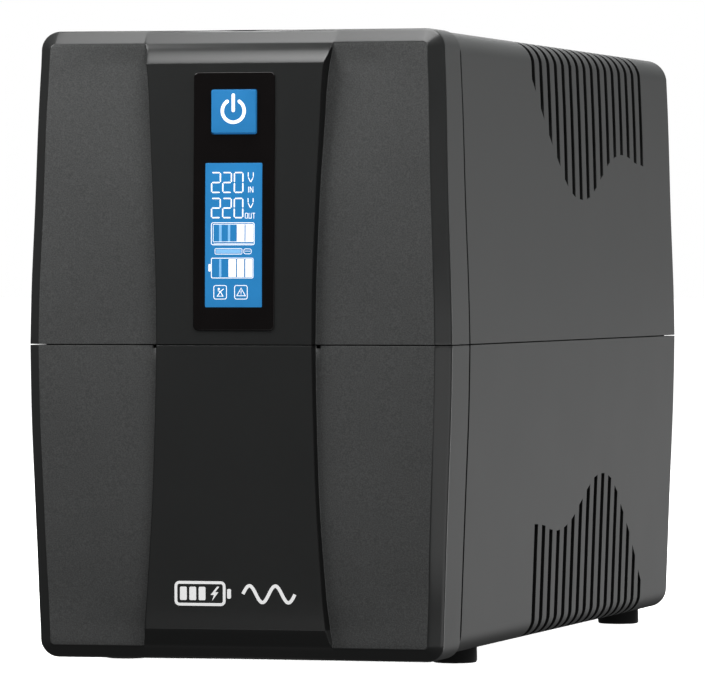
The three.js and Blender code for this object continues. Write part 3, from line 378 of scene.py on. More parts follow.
M["paleblue"] = material("bar_pale_blue", rgb(128, 186, 232), 0.4, var=0.03, rvar=0.04, scale=700, bump=0.05, bump_scale=3000, bump_dist=0.01, spec=0.3, emit=rgb(128, 186, 232), emit_strength=0.55)
# darker copy of the panel satin for the step walls beside the panel: painted shade, the walls are the same plastic as
# the panel
M["satin_wall"] = material("panel_step", (0.0070, 0.0072, 0.0071), 0.42, var=0.05, rvar=0.03, scale=600, bump=0.10, bump_scale=2600, bump_dist=0.02, spec=0.30)
# near-black copy of the case plastic for the slot walls, the case's inner skin and the sheets behind the slots: painted
# shade
M["slotwall"] = material("slot_wall_dark", (0.0045, 0.0045, 0.0045), 0.70, var=0.08, rvar=0.05, bump=0.2, spec=0.14)
# near-black for the tongues behind the seam: painted shade in the gap
M["inside"] = material("inner_black", (0.010, 0.010, 0.010), 0.7, var=0.1, rvar=0.06, bump=0.2, spec=0.2)

# ------------------------------------------------------------------ camera, light, floor
cam_data = bpy.data.cameras.new("camera"); cam = bpy.data.objects.new("camera", cam_data); scene.collection.objects.link(cam)
cam_data.sensor_width = 36.0; cam_data.lens = 345.66; cam_data.clip_start = 0.05; cam_data.clip_end = 30.0
cam.location = (0.50846, -2.00348, 0.11370)
yaw, pitch = math.radians(14.395), math.radians(0.608)
cam.rotation_euler = (math.radians(90) - pitch, 0.0, yaw)
scene.camera = cam

scene.view_settings.view_transform = "Standard"
scene.view_settings.look = "None"
scene.view_settings.exposure = 0.0
scene.view_settings.gamma = 1.0

def area(name, loc, target, sx, sy, power, color=(1, 1, 1)):
    d = bpy.data.lights.new(name, "AREA"); d.shape = "RECTANGLE"; d.size = sx; d.size_y = sy; d.energy = power; d.color = color
    o = bpy.data.objects.new(name, d); scene.collection.objects.link(o); o.location = loc
    o.visible_camera = False
    o.rotation_euler = (Vector(target) - Vector(loc)).to_track_quat("-Z", "Y").to_euler()
    return o

area("top_box", (0.17, 0.02, 1.10), (0.09, 0.02, 0.10), 1.25, 0.95, 19.6)
area("front_right_top", (0.36, -0.50, 0.52), (-0.02, -0.155, 0.12), 0.34, 0.24, 1.15)
area("front_left_top", (-0.21, -0.31, 0.35), (-0.03, -0.155, 0.14), 0.22, 0.14, 0.70)
area("front_low", (0.12, -1.1, -0.42), (0.0, -0.15, 0.03), 0.9, 0.35, 1.1)
area("side_low", (1.5, -0.10, -0.22), (0.05, 0.0, 0.06), 1.1, 0.7, 3.0)
area("rear_right", (0.75, 2.4, -0.20), (0.06, 0.0, 0.06), 1.0, 0.7, 4.5)
area("rear_soft", (-0.6, 1.5, 0.9), (0.0, 0.1, 0.09), 1.2, 0.9, 9.0)

world = bpy.data.worlds.new("studio"); scene.world = world; world.use_nodes = True
wn = world.node_tree; wn.nodes.clear()
wo = wn.nodes.new("ShaderNodeOutputWorld"); bg = wn.nodes.new("ShaderNodeBackground"); bg2 = wn.nodes.new("ShaderNodeBackground")
lp = wn.nodes.new("ShaderNodeLightPath"); ms = wn.nodes.new("ShaderNodeMixShader")
bg.inputs["Color"].default_value = (1, 1, 1, 1); bg.inputs["Strength"].default_value = 0.075
bg2.inputs["Color"].default_value = (1, 1, 1, 1); bg2.inputs["Strength"].default_value = 1.0
wn.links.new(lp.outputs["Is Camera Ray"], ms.inputs["Fac"]); wn.links.new(bg.outputs[0], ms.inputs[1]); wn.links.new(bg2.outputs[0], ms.inputs[2]); wn.links.new(ms.outputs[0], wo.inputs["Surface"])

# wide pale floor, lit on its own so that it stays even
M["floor"] = material("floor_pale", (0.90, 0.90, 0.90), 0.9, var=0.008, rvar=0.03, scale=60, spec=0.05)
fbm = bmesh.new()
bmesh.ops.create_grid(fbm, x_segments=24, y_segments=24, size=24.0)
fme = bpy.data.meshes.new("floor"); fbm.to_mesh(fme); fbm.free()
floor = bpy.data.objects.new("floor", fme); scene.collection.objects.link(floor); fme.materials.append(M["floor"])
# from below the floor is clear, so that the underside can be seen
fnt = M["floor"].node_tree; fout = next(n for n in fnt.nodes if n.type == "OUTPUT_MATERIAL")
fsrc = fout.inputs["Surface"].links[0].from_socket
fgeo = fnt.nodes.new("ShaderNodeNewGeometry"); ftr = fnt.nodes.new("ShaderNodeBsdfTransparent"); fmix = fnt.nodes.new("ShaderNodeMixShader")
fnt.links.new(fgeo.outputs["Backfacing"], fmix.inputs["Fac"]); fnt.links.new(fsrc, fmix.inputs[1]); fnt.links.new(ftr.outputs[0], fmix.inputs[2]); fnt.links.new(fmix.outputs[0], fout.inputs["Surface"])
floor.visible_diffuse = False; floor.visible_glossy = False; floor.visible_shadow = False
only_floor = bpy.data.collections.new("floor_light_targets"); only_floor.objects.link(floor)
sun_d = bpy.data.lights.new("floor_wash", "SUN"); sun_d.energy = 4.2; sun_d.angle = math.radians(60)
sun = bpy.data.objects.new("floor_wash", sun_d); scene.collection.objects.link(sun); sun.location = (0, 0, 3)
sun.rotation_euler = (0, 0, 0)
sun.light_linking.receiver_collection = only_floor; sun.light_linking.blocker_collection = only_floor

# ------------------------------------------------------------------ front bezel, upper and lower halves
VIS_GAP = 0.13
def smax(a, b, k): return (a + b + math.sqrt((a - b) ** 2 + k * k)) / 2
def clamp(v, lo, hi): return max(lo, min(hi, v))
def sstep(a, b, v):
    t = clamp((v - a) / (b - a), 0, 1); return t * t * (3 - 2 * t)

class Skin:
    """Vertices merged by place, faces with a material number."""
    def __init__(self): self.v, self.f, self.m, self.key = [], [], [], {}
    def at(self, x, y, z):
        k = (round(x, 4), round(y, 4), round(z, 4))
        if k not in self.key: self.key[k] = len(self.v); self.v.append((x, y, z))
        return self.key[k]
    def face(self, idx, mat=0):
        out = []
        for i in idx:
            if not out or out[-1] != i: out.append(i)
        if len(out) > 1 and out[0] == out[-1]: out.pop()
        if len(set(out)) >= 3 and len(set(out)) == len(out): self.f.append(tuple(out)); self.m.append(mat)

HOLE_X, HOLE_Z0, HOLE_Z1 = 11.1, 97.3, 169.0

def bezel(name, up):
    BR = 5.5 if up else 5.1                                          # corner radius
    zo, sg = (182.0, 1) if up else (3.0, -1)                         # outer edge, way outwards
    za = zo - sg * BR                                                # start of the corner
    zc = 178.2 if up else 6.7                                        # where wing and chamfer meet
    outy, inx, iny, wing = (out_up, inx_up, iny_up, wing_up) if up else (out_lo, inx_lo, iny_lo, wing_lo)
    panx, pany, ramp = (pan_x_up, pan_y_up, ramp_up) if up else (pan_x_lo, pan_y_lo, ramp_lo)
    z_r = 172.2 if up else 12.0
    cx = half(za) - BR
    K_TOP = 1.15 if up else 1.28; D = 4.6
    def yw(x, z):
        z = clamp(z, 6.7, 178.2); h = panx(z) + 0.4; x1 = inx(z)
        return wing(z) + (iny(z) - wing(z)) * (x - h) / (x1 - h)
    def edge_top(x): return yw(x, zc) + K_TOP * abs(zo - zc)
    def side_ch(z, d):
        z = clamp(z, 9, 176); y0 = outy(z); k = (y0 - iny(z)) / (half(z) - inx(z)); return y0, k
    def outer(x, z, d, frac):
        """frac 0 on the side, 1 along the top or bottom"""
        y0, k = side_ch(z, d); y1 = edge_top(min(x, cx))
        ye = y0 + (y1 - y0) * frac; kk = k + (K_TOP - k) * frac
        return ye, kk
    def y_front(x, z, d, frac):
        ye, k = outer(x, z, d, frac)
        return smax(yw(x, z), ye - k * d, 0.22)
    def y_mid(z):
        d = abs(zo - z)
        base = pany(z) if (z <= z_r if up else z >= z_r) else ramp(z)
        top = edge_top(28.0) - K_TOP * d
        w = sstep(177.5, 178.7, z) if up else 1 - sstep(6.1, 7.4, z)
        return base + (top - base) * w
    def row(z, xb, d=None, top=False):
        """points of one row from the middle outwards"""
        h = panx(z); yp = y_mid(z)
        yi = yw(h + 0.4, z) if not top else y_front(h + 0.4, z, abs(zo - z), 1.0)
        s = max(yi - yp, 0.0); r = min(0.32, 0.45 * s); r = max(r, 0.01)
        pts = [(x, yp) for x in (0.0, 4.0, 8.0, HOLE_X, 15.5, 19.0)] + [(h - 0.9, yp)]
        for t in (0, 1 / 4, 2 / 4, 3 / 4, 1):
            ex = h + (0.4 * r / s if s > 0.02 else 0.01)
            px = (1 - t) ** 2 * (h - r) + 2 * t * (1 - t) * h + t * t * ex
            py = (1 - t) ** 2 * yp + 2 * t * (1 - t) * yp + t * t * (yp + min(r, s))
            pts.append((px, py))
        pts.append((h + 0.38, yi))
        for x in [h + 0.62, h + 1.9] + [h + 1.9 + (xb - h - 1.9) * f for f in (0.2, 0.4, 0.6, 0.8, 0.93, 1.0)]:
            if top: y = y_front(x, z, abs(zo - z), 1.0)
            else: y = smax(yw(x, z), -400, 0.22) if x < xb - 1e-6 else None
            pts.append((x, y))
        return pts
    if up:
        zs = [SEAM + VIS_GAP, 93.4, HOLE_Z0, 100, 105, 112, 119, 126, 133, 140, 147, 153, 159, 164, HOLE_Z1, 171.2, 171.95, 172.2, 172.32, 172.6, 173.0, 173.4, 173.8, 174.2, 174.6, 175.0, 175.5, 176.0, za]
    else:
        zs = [SEAM - VIS_GAP, 91.55, 88, 82, 76, 69, 62, 55, 48, 41, 34, 28, 22, 18, 15, 13.4, 12.5, 12.2, 12.0, 11.88, 11.5, 11.0, 10.5, 10.0, 9.4, 8.8, za]
    NA = 9
    angs = [90.0 * i / NA for i in range(NA + 1)]
    sk = Skin()
    grids = []
    for mir in (1, -1):
        P = lambda x, y, z: sk.at(mir * x, y, z)
        # inner grid
        rows = []; mats = []
        for z in zs: rows.append((z, half(z) - D, 0.0))
        for a in angs[1:]: rows.append((za + sg * (BR - D) * math.sin(math.radians(a)), cx + (BR - D) * math.cos(math.radians(a)), a / 90.0))
        grid = []
        for z, xb, fr in rows:
            pts = row(z, xb); line = []
            last = y_front(xb, z, D, fr)
            for x, y in pts: line.append(P(x, last if y is None else y, z))
            grid.append(line)
        # the last row is the top ring's own, computed with the top's rule
        zt = zo - sg * D; pts = row(zt, cx, top=True)
        grid[-1] = [P(x, y, zt) for x, y in pts]
        nc = len(grid[0])
        for j in range(len(grid) - 1):
            zm = (rows[j][0] + rows[j + 1][0]) / 2
            for c in range(nc - 1):
                if up and c < 3 and HOLE_Z0 - 0.01 < zm < HOLE_Z1 + 0.01: continue
                if not up and c == 13 and zm > 91.6: continue
                # material 3, the darker satin copy, goes on the step walls: painted shade
                mt = 1 if c >= 12 else (3 if 8 <= c and (12.0 < zm < 92.5 or 92.5 < zm < 176.6) else 0)
                sk.face((grid[j][c], grid[j][c + 1], grid[j + 1][c + 1], grid[j + 1][c]), mt)
        # rings
        rings = []
        first = [grid[j][-1] for j in range(len(grid))] + [grid[-1][c] for c in range(nc - 2, -1, -1)]
        rings.append(first)
        ds = [4.35, 4.15, 4.0, 3.9, 3.8, 3.7, 3.5, 3.0, 2.3, 1.5, 0.9, 0.62]
        prof = [(d, None, 0.0) for d in ds]
        for t in (0.25, 0.5, 0.75, 1.0): prof.append((0.62 * (1 - t) ** 2, t, 0.0))
        prof += [(0.0, 1.0, -146.0), (0.0, 1.0, -138.0), (0.0, 1.0, BEZ_BACK)]
        for d, t, yy in prof:
            line = []
            def ypt(x, z, fr, dd=d, tt=t, y_=yy):
                ye, k = outer(x, z, dd, fr)
                if y_: return y_
                if tt is None: return y_front(x, z, dd, fr)
                p0 = ye - k * 0.62
                return (1 - tt) ** 2 * p0 + 2 * tt * (1 - tt) * ye + tt * tt * (ye + 0.75)
            for z in zs: x = half(z) - d; line.append(P(x, ypt(x, z, 0.0), z))
            for a in angs[1:]:
                q = math.radians(a); x = cx + (BR - d) * math.cos(q); z = za + sg * (BR - d) * math.sin(q)
                line.append(P(x, ypt(x, z, a / 90.0), z))
            z = zo - sg * d
            if t is None:
                top = row(z, cx, top=True)
            else:
                top = [(x, ypt(x, z, 1.0)) for x, _ in row(z, cx, top=True)]
            for c in range(nc - 2, -1, -1): line.append(P(top[c][0], top[c][1], z))
            rings.append(line)
        for i in range(len(rings) - 1):
            d = (4.6, *[p[0] for p in prof])[i + 1]
            for s in range(len(rings[i]) - 1):
                side = i >= len(rings) - 4
                ztop = s >= len(zs) - 1 + NA
                mt = 2 if side else (1 if (d >= 3.95 and not (ztop and s > len(zs) - 1 + NA + (nc - 14))) else 0)
                sk.face((rings[i][s], rings[i][s + 1], rings[i + 1][s + 1], rings[i + 1][s]), mt)
    inner = []
    for x, y, z in sk.v:
        inner.append((x * (1 - 2.3 / 62), min(y + 2.4, BEZ_BACK), 92.5 + (z - 92.5) * (1 - 2.3 / 89.5)))
    verts, faces, rim = thicken(sk.v, sk.f, inner)
    ms = sk.m + sk.m + [0] * len(rim)
    me = bpy.data.meshes.new(name)
    me.from_pydata([(x * MM, y * MM, z * MM) for x, y, z in verts], [], faces)
    me.polygons.foreach_set("material_index", ms)
    bm = bmesh.new(); bm.from_mesh(me)
    bmesh.ops.recalc_face_normals(bm, faces=bm.faces); bm.to_mesh(me); bm.free()
    ob = bpy.data.objects.new(name, me); scene.collection.objects.link(ob)
    finish_obj(ob, [M["satin"], M["wing"], M["case"], M["satin_wall"]], "chassis", ("front_bezel_upper" if up else "front_bezel_lower",), "bezel_black", 32)
    def wt(mid):
        x, y, z = abs(mid.x), mid.y, mid.z
        if abs(z - SEAM) < 0.2: return 0.13 / 0.3 if y < -130.5 else 0.0
        if abs(y - BEZ_BACK) < 0.05: return 0.8
        if up and x < 12.1 and HOLE_Z0 - 0.1 < z < HOLE_Z1 + 0.1 and y < -155.5: return 0.3
        return 0.0
    edge_bevel(ob, wt, width=0.3, segments=2)
    return ob

BEZ_BACK = -130.45
bezel("bezel_upper", True)
bezel("bezel_lower", False)

# ------------------------------------------------------------------ case shells with slots
def cut_with(ob, cutters):
    for c in cutters:
        m = ob.modifiers.new("cut", "BOOLEAN"); m.operation = "DIFFERENCE"; m.solver = "EXACT"; m.object = c
    dg = bpy.context.evaluated_depsgraph_get()
    me = bpy.data.meshes.new_from_object(ob.evaluated_get(dg), depsgraph=dg)
    old = ob.data; ob.modifiers.clear(); nm = old.name; ob.data = me; bpy.data.meshes.remove(old); me.name = nm
    for c in cutters:
        cm = c.data; bpy.data.objects.remove(c); bpy.data.meshes.remove(cm)
    return ob

def tool(verts, faces):
    me = bpy.data.meshes.new("tool"); me.from_pydata([(x * MM, y * MM, z * MM) for x, y, z in verts], [], faces)
    bm = bmesh.new(); bm.from_mesh(me); bmesh.ops.recalc_face_normals(bm, faces=bm.faces); bm.to_mesh(me); bm.free()
    o = bpy.data.objects.new("tool", me); scene.collection.objects.link(o); return o

def tool_cyl(c, r, t0, t1, axis="Z", n=40, r2=None):
    r2 = r if r2 is None else r2
    v = []
    for rr_, t in ((r, t0), (r2, t1)):
        for i in range(n):
            a = 2 * math.pi * i / n; u, w = rr_ * math.cos(a), rr_ * math.sin(a)
            v.append((c[0] + u, c[1] + w, t) if axis == "Z" else (c[0] + u, t, c[1] + w))
    f = [tuple(range(n)), tuple(range(2 * n - 1, n - 1, -1))] + [(i, (i + 1) % n, n + (i + 1) % n, n + i) for i in range(n)]
    return tool(v, f)

def shell(name, up):
    R = 7.2 if up else 6.2
    zb = 181.9 if up else 4.0; sg = 1 if up else -1
    zc = zb - sg * R; cx = half(zc) - R
    Y0, Y1 = -129.2, 158.0
    ends = []
    ycol = [(Y0, None), (-122, None), (-105, None), (-88, None), (-70, None), (-52, None)]
    for k in range(16):
        kk = k if up else 15 - k
        a, b = SLOT_END[max(kk - 1, 0)], SLOT_END[min(kk + 1, 15)]
        n = (min(kk + 1, 15) - max(kk - 1, 0)) * SLOT_P
        sl = (b - a) / n * (1 if up else -1)           # slope of the wave in Y
        e = SLOT_END[kk] - (0.0 if up else 0.9 * math.exp(-((kk - 6) / 2.2) ** 2))
        y = SLOT_Y0 + SLOT_P * k
        l = sl * SLOT_W / 2
        ycol.append((y - SLOT_W / 2, e - l)); ycol.append((y + SLOT_W / 2, e + l))
    ycol += [(126, None), (137, None), (148, None), (Y1, None)]
    # fill in the wave where there are no slots
    first = next(e for y, e in ycol if e is not None); last = [e for y, e in ycol if e is not None][-1]
    cols = []
    seen = False
    for y, e in ycol:
        if e is None: e = last if seen else first
        else: seen = True
        cols.append((y, min(e, 172.0), seen and e is not None))
    NS, NU, NA = 7, 3, 10
    XI = 47.0
    def station(e):
        """(x, z, nx, nz) from the seam to the middle"""
        e = e if up else 185 - e
        z0 = SEAM + sg * VIS_GAP
        out = []
        for i in range(NS + 1):
            z = z0 + (e - z0) * i / NS; out.append((half(z), z, 1.0, 0.0))
        for i in range(1, NU + 1):
            z = e + (zc - e) * i / NU; out.append((half(z), z, 1.0, 0.0))
        for i in range(1, NA + 1):
            a = math.pi / 2 * i / NA
            out.append((cx + R * math.cos(a), zc + sg * R * math.sin(a), math.cos(a), sg * math.sin(a)))
        for x in (XI, 40, 30, 20, 10, 0): out.append((x, zb, 0.0, float(sg)))
        return out
    sk = Skin(); inner_of = {}
    for mir in (1, -1):
        G = []
        for y, e, _ in cols:
            line = []
            for x, z, nx, nz in station(e):
                i = sk.at(mir * x, y, z); inner_of[i] = (mir * (x - 2.5 * nx), y, z - 2.5 * nz); line.append(i)
            G.append(line)
        n = len(G[0]); i47 = NS + NU + NA + 1
        for c in range(len(G) - 1):
            is_slot = 6 <= c < 6 + 32 and (c - 6) % 2 == 0
            for s in range(n - 1):
                if is_slot and NS <= s < i47: continue
                sk.face((G[c][s], G[c + 1][s], G[c + 1][s + 1], G[c][s + 1]))
    inner = [inner_of[i] for i in range(len(sk.v))]
    verts, faces, rim = thicken(sk.v, sk.f, inner)
    me = bpy.data.meshes.new(name)
    me.from_pydata([(x * MM, y * MM, z * MM) for x, y, z in verts], [], faces)
    # the inner skin and the slot walls take the near-black copy, the rear rim keeps the case plastic: painted shade
    mi = [0] * len(sk.f) + [1] * len(sk.f) + [0 if min(verts[a][1], verts[b][1]) > Y1 - 0.1 else 1 for a, b in rim]
    me.materials.append(M["case"]); me.materials.append(M["slotwall"])
    me.polygons.foreach_set("material_index", mi)
    bm = bmesh.new(); bm.from_mesh(me); bmesh.ops.recalc_face_normals(bm, faces=bm.faces); bm.to_mesh(me); bm.free()
    ob = bpy.data.objects.new(name, me); scene.collection.objects.link(ob)
    def outerness(x, z):
        x = abs(x)
        if (z < zc) == up: return abs(x - half(z))
        if x > cx: return abs(math.hypot(x - cx, z - zc) - R)
        return abs(z - zb)
    def wt(mid):
        if abs(mid.z - SEAM) < 0.2: return 0.22 if outerness(mid.x, mid.z) < 0.3 else 0
        if outerness(mid.x, mid.z) > 0.3: return 0.0
        if mid.y > Y1 - 0.1: return 1.0
        if mid.y < Y0 + 0.1: return 0.4
        return 0.42
    edge_bevel(ob, wt, width=0.6, segments=3)
    if not up:
        cutters = [tool_cyl((x, y), 6.75, 2.0, 5.3) for x in (-49.5, 49.5) for y in (-96, 129)]
        cutters += [tool_cyl((x, y), 4.2, 2.0, 9.0) for x in (-40, 40) for y in (16.6, 116)]
        cut_with(ob, cutters)
    finish_obj(ob, [M["case"], M["slotwall"]], "chassis", ("top_cover",) if up else ("base_cover",), "case_black", 40)
    if not up:
        w = ob.modifiers.new("shade", "WEIGHTED_NORMAL"); w.keep_sharp = True; w.weight = 60
    return ob

shell("case_upper", True)
shell("case_lower", False)

# tongue behind the seam, near-black: painted shade that keeps the seam gap dark
for s in (-1, 1):
    block("seam_tongue_" + ("r" if s > 0 else "l"), (min(s * 57.6, s * 59.2), -125, 85), (max(s * 57.6, s * 59.2), 150.8, 96), edge=0.3, seg=2, mat=M["inside"], slot="case_black")
block("seam_tongue_f", (-57.0, -152.4, 89.5), (57.0, -151.4, 95.5), edge=0.3, seg=2, mat=M["inside"], slot="bezel_black")

# ------------------------------------------------------------------ display window, display, button
def slab(name, x, z0, z1, r, proud, back, edge, mat, slot, replaces, yfun=None, res=5, body="chassis", zs_extra=()):
    """Rounded plate whose front follows the panel; edge rounded by rings of decreasing size."""
    yfun = yfun or (lambda z: pan_y_up(z) - proud)
    def ring(d, y):
        out = []
        for px, pz in rr(-x + d, x - d, z0 + d, z1 - d, max(r - d, 0.05), res): out.append((px, y, pz))
        return out
    sk = []; rings = []
    n = 4
    prof = [(0.0, back), (0.0, None)]
    zlist = rr(-x, x, z0, z1, r, res)
    verts, faces = [], []
    m = len(zlist)
    # long straight sides need points between the corners to follow the curve
    def refine(pts):
        out = []
        for i, p in enumerate(pts):
            q = pts[(i + 1) % len(pts)]
            out.append(p)
            L = math.hypot(q[0] - p[0], q[1] - p[1])
            k = int(L // 6)
            for j in range(1, k + 1): out.append((p[0] + (q[0] - p[0]) * j / (k + 1), p[1] + (q[1] - p[1]) * j / (k + 1)))
        return out
    levels = [(0.0, "back"), (0.0, edge)] + [(edge * (1 - math.cos(a)), edge * (1 - math.sin(a))) for a in [math.pi / 2 * i / n for i in range(1, n + 1)]]
    loops = []
    base = refine(rr(-x, x, z0, z1, r, res)); cxm, czm = 0.0, (z0 + z1) / 2
    for d, dy in levels:
        loop = []
        for px, pz in base:
            # move inwards along the outline's normal
            ax = min(max(px, -x + r), x - r); az = min(max(pz, z0 + r), z1 - r)
            nx, nz = px - ax, pz - az; l = math.hypot(nx, nz) or 1
            qx, qz = px - nx / l * d, pz - nz / l * d
            y = back if dy == "back" else yfun(qz) + dy
            loop.append((qx, y, qz))
        loops.append(loop)
    nb = len(base)
    for loop in loops: verts += loop
    for j in range(len(loops) - 1):
        for i in range(nb): faces.append((j * nb + i, j * nb + (i + 1) % nb, (j + 1) * nb + (i + 1) % nb, (j + 1) * nb + i))
    faces.append(tuple(range(nb - 1, -1, -1)))
    faces.append(tuple((len(loops) - 1) * nb + i for i in range(nb)))
    me = bpy.data.meshes.new(name); me.from_pydata([(a * MM, b * MM, c * MM) for a, b, c in verts], [], faces)
    bm = bmesh.new(); bm.from_mesh(me)
    # cut the front across so that it follows the curve
    zz = z0 + 4
    while zz < z1 - 3:
        bmesh.ops.bisect_plane(bm, geom=bm.verts[:] + bm.edges[:] + bm.faces[:], plane_co=(0, 0, zz * MM), plane_no=(0, 0, 1), dist=1e-7); zz += 6.0
    bmesh.ops.triangulate(bm, faces=[f for f in bm.faces if len(f.verts) > 4], quad_method="BEAUTY", ngon_method="BEAUTY")
    bmesh.ops.recalc_face_normals(bm, faces=bm.faces); bm.to_mesh(me); bm.free()
    ob = bpy.data.objects.new(name, me); scene.collection.objects.link(ob)
    return finish_obj(ob, mat, body, replaces, slot, 30)

WIN = slab("window_slab", 11.87, 96.6, 169.7, 1.35, 0.42, -154.9, 0.30, M["window"], "window_gloss", ("display_window",))
LCDP = slab("lcd_glass", 8.3, 103.2, 144.0, 0.35, 0.50, -155.2, 0.10, M["lcd"], "lcd_blue", ("lcd_screen",))

# near-black sheets behind the slots, bent over at the top and bottom: painted shade that keeps the slots dark
def shade_sheet(name, up, side):
    sg = 1 if up else -1; zb = 181.9 if up else 4.0; t = 0.7; R = 5.0
    zt = zb - sg * 3.3; zs = zt - sg * R; z0 = 100.0 if up else 85.0
    outer, inn = [], []
    for i in range(9):
        z = z0 + (zs - z0) * i / 8; x = half(z) - 3.3; outer.append((x, z)); inn.append((x - t, z))
    cx = half(zs) - 3.3 - R
    for i in range(1, 8):
        a = math.pi / 2 * i / 7
        outer.append((cx + R * math.cos(a), zs + sg * R * math.sin(a))); inn.append((cx + (R - t) * math.cos(a), zs + sg * (R - t) * math.sin(a)))
    outer.append((43.0, zt)); inn.append((43.0, zt - sg * t))
    loop = outer + inn[::-1]; n = len(loop)
    ys = [-43.0, -42.4] + [-42.4 + 165.8 * i / 12 for i in range(1, 12)] + [123.4, 124.0]
    verts, faces = [], []
    for y in ys:
        for x, z in loop: verts.append((side * x, y, z))
    for j in range(len(ys) - 1):
        for i in range(n): faces.append((j * n + i, j * n + (i + 1) % n, (j + 1) * n + (i + 1) % n, (j + 1) * n + i))
    m = len(outer)
    for j in (0, len(ys) - 1):
        for i in range(m - 1): faces.append((j * n + i, j * n + i + 1, j * n + n - 2 - i, j * n + n - 1 - i))
    # the sheet takes the near-black slot copy: painted shade
    return new_obj(name, verts, faces, M["slotwall"], "chassis", (), "case_black", 40)
for up in (True, False):
    for side, tag in ((1, "r"), (-1, "l")):
        shade_sheet("vent_sheet_" + ("upper_" if up else "lower_") + tag, up, side)

def rtool(x0, x1, z0, z1, r, y0, y1, k=5):
    p = rr(x0, x1, z0, z1, r, k); n = len(p)
    v = [(a, y0, b) for a, b in p] + [(a, y1, b) for a, b in p]
    f = [tuple(range(n)), tuple(range(2 * n - 1, n - 1, -1))] + [(i, (i + 1) % n, n + (i + 1) % n, n + i) for i in range(n)]
    return tool(v, f)

cut_with(WIN, [rtool(-8.38, 8.38, 103.12, 144.08, 0.38, -160, -150), rtool(-6.72, 6.72, 152.13, 164.87, 0.62, -160, -150)])
finish_obj(WIN, M["window"], "chassis", ("display_window",), "window_gloss", 30)
bevel(WIN, 0.05, 1, 60)

# raised figures: polygons in X and Z, standing on a surface
def figures(name, polys, yfront, depth, mat, body="chassis", slot=None, replaces=()):
    verts, faces = [], []
    for p in polys:
        if len(p) == 2 and isinstance(p[0], list):        # a band between two loops of the same length
            a, b = p; closed = len(a[0]) == 2 and p[0][0] is not None
            n = len(a); o = len(verts)
            for loop in (a, b):
                for x, z in loop: verts.append((x, yfront(z), z)); verts.append((x, yfront(z) + depth, z))
            A = lambda i, k: o + 2 * i + k
            B = lambda i, k: o + 2 * n + 2 * i + k
            open_ = a[0] != a[-1]
            m = n - 1
            for i in range(m):
                j = i + 1
                faces += [(A(i, 0), A(j, 0), B(j, 0), B(i, 0)), (A(i, 1), B(i, 1), B(j, 1), A(j, 1)), (A(i, 0), A(i, 1), A(j, 1), A(j, 0)), (B(i, 0), B(j, 0), B(j, 1), B(i, 1))]
            if open_: faces += [(A(0, 0), B(0, 0), B(0, 1), A(0, 1)), (A(m, 0), A(m, 1), B(m, 1), B(m, 0))]
        else:
            n = len(p); o = len(verts)
            for x, z in p: verts.append((x, yfront(z), z))
            for x, z in p: verts.append((x, yfront(z) + depth, z))
            faces.append(tuple(o + i for i in range(n))); faces.append(tuple(o + n + i for i in range(n - 1, -1, -1)))
            for i in range(n): faces.append((o + i, o + n + i, o + n + (i + 1) % n, o + (i + 1) % n))
    return new_obj(name, verts, faces, mat=mat, body=body, slot=slot, replaces=replaces, angle=30)

def stroke(x0, z0, x1, z1, w):
    dx, dz = x1 - x0, z1 - z0; l = math.hypot(dx, dz); nx, nz = -dz / l * w / 2, dx / l * w / 2
    return [(x0 + nx, z0 + nz), (x0 - nx, z0 - nz), (x1 - nx, z1 - nz), (x1 + nx, z1 + nz)]
def frame_of(x0, x1, z0, z1, r, w, k=3):
    a = rr(x0, x1, z0, z1, r, k); b = rr(x0 + w, x1 - w, z0 + w, z1 - w, max(r - w, 0.04), k)
    return [a + [a[0]], b + [b[0]]]
def rect(x0, x1, z0, z1, r=0.06): return rr(x0, x1, z0, z1, r, 2)

# display content
PX = lambda cx: -8.3 + (cx - 50) * 0.03074
PZ = lambda cy: 144.0 - (cy - 120) * 0.02978
white, pale = [], []
def seg_digit(ch, cx0, cx1, cy0, cy1, w=0.37):
    x0, x1, z1, z0 = PX(cx0), PX(cx1), PZ(cy0), PZ(cy1); h = w / 2; g = 0.11; zm = (z0 + z1) / 2
    on = {"2": "abged", "0": "abcdef"}[ch]
    def H(z, s=0): white.append([(x0 + h + g, z), (x0 + w + g, z + h), (x1 - w - g, z + h), (x1 - h - g, z), (x1 - w - g, z - h), (x0 + w + g, z - h)])
    def V(x, a, b): white.append([(x, a + h + g), (x - h, a + w + g), (x - h, b - w - g), (x, b - h - g), (x + h, b - w - g), (x + h, a + w + g)])
    if "a" in on: H(z1 - h)
    if "g" in on: H(zm)
    if "d" in on: H(z0 + h)
    if "f" in on: V(x0 + h, zm - h, z1)
    if "b" in on: V(x1 - h, zm - h, z1)
    if "e" in on: V(x0 + h, z0, zm + h)
    if "c" in on: V(x1 - h, z0, zm + h)
for cy0, cy1 in ((205, 405), (450, 645)):
    for ch, a, b in (("2", 105, 200), ("2", 212, 305), ("0", 322, 415)): seg_digit(ch, a, b, cy0, cy1)
    x0, x1, z1, z0 = PX(455), PX(512), PZ(cy0 + 4), PZ(cy0 + 96); xm = (x0 + x1) / 2; zq = z0 + (z1 - z0) * 0.5
    white.append(stroke(x0 + 0.14, z1, x0 + 0.14, zq + 0.16, 0.24)); white.append(stroke(x1 - 0.14, z1, x1 - 0.14, zq + 0.16, 0.24))
    white.append(stroke(x0 + 0.16, zq - 0.05, xm - 0.02, z0, 0.24)); white.append(stroke(x1 - 0.16, zq - 0.05, xm + 0.02, z0, 0.24))
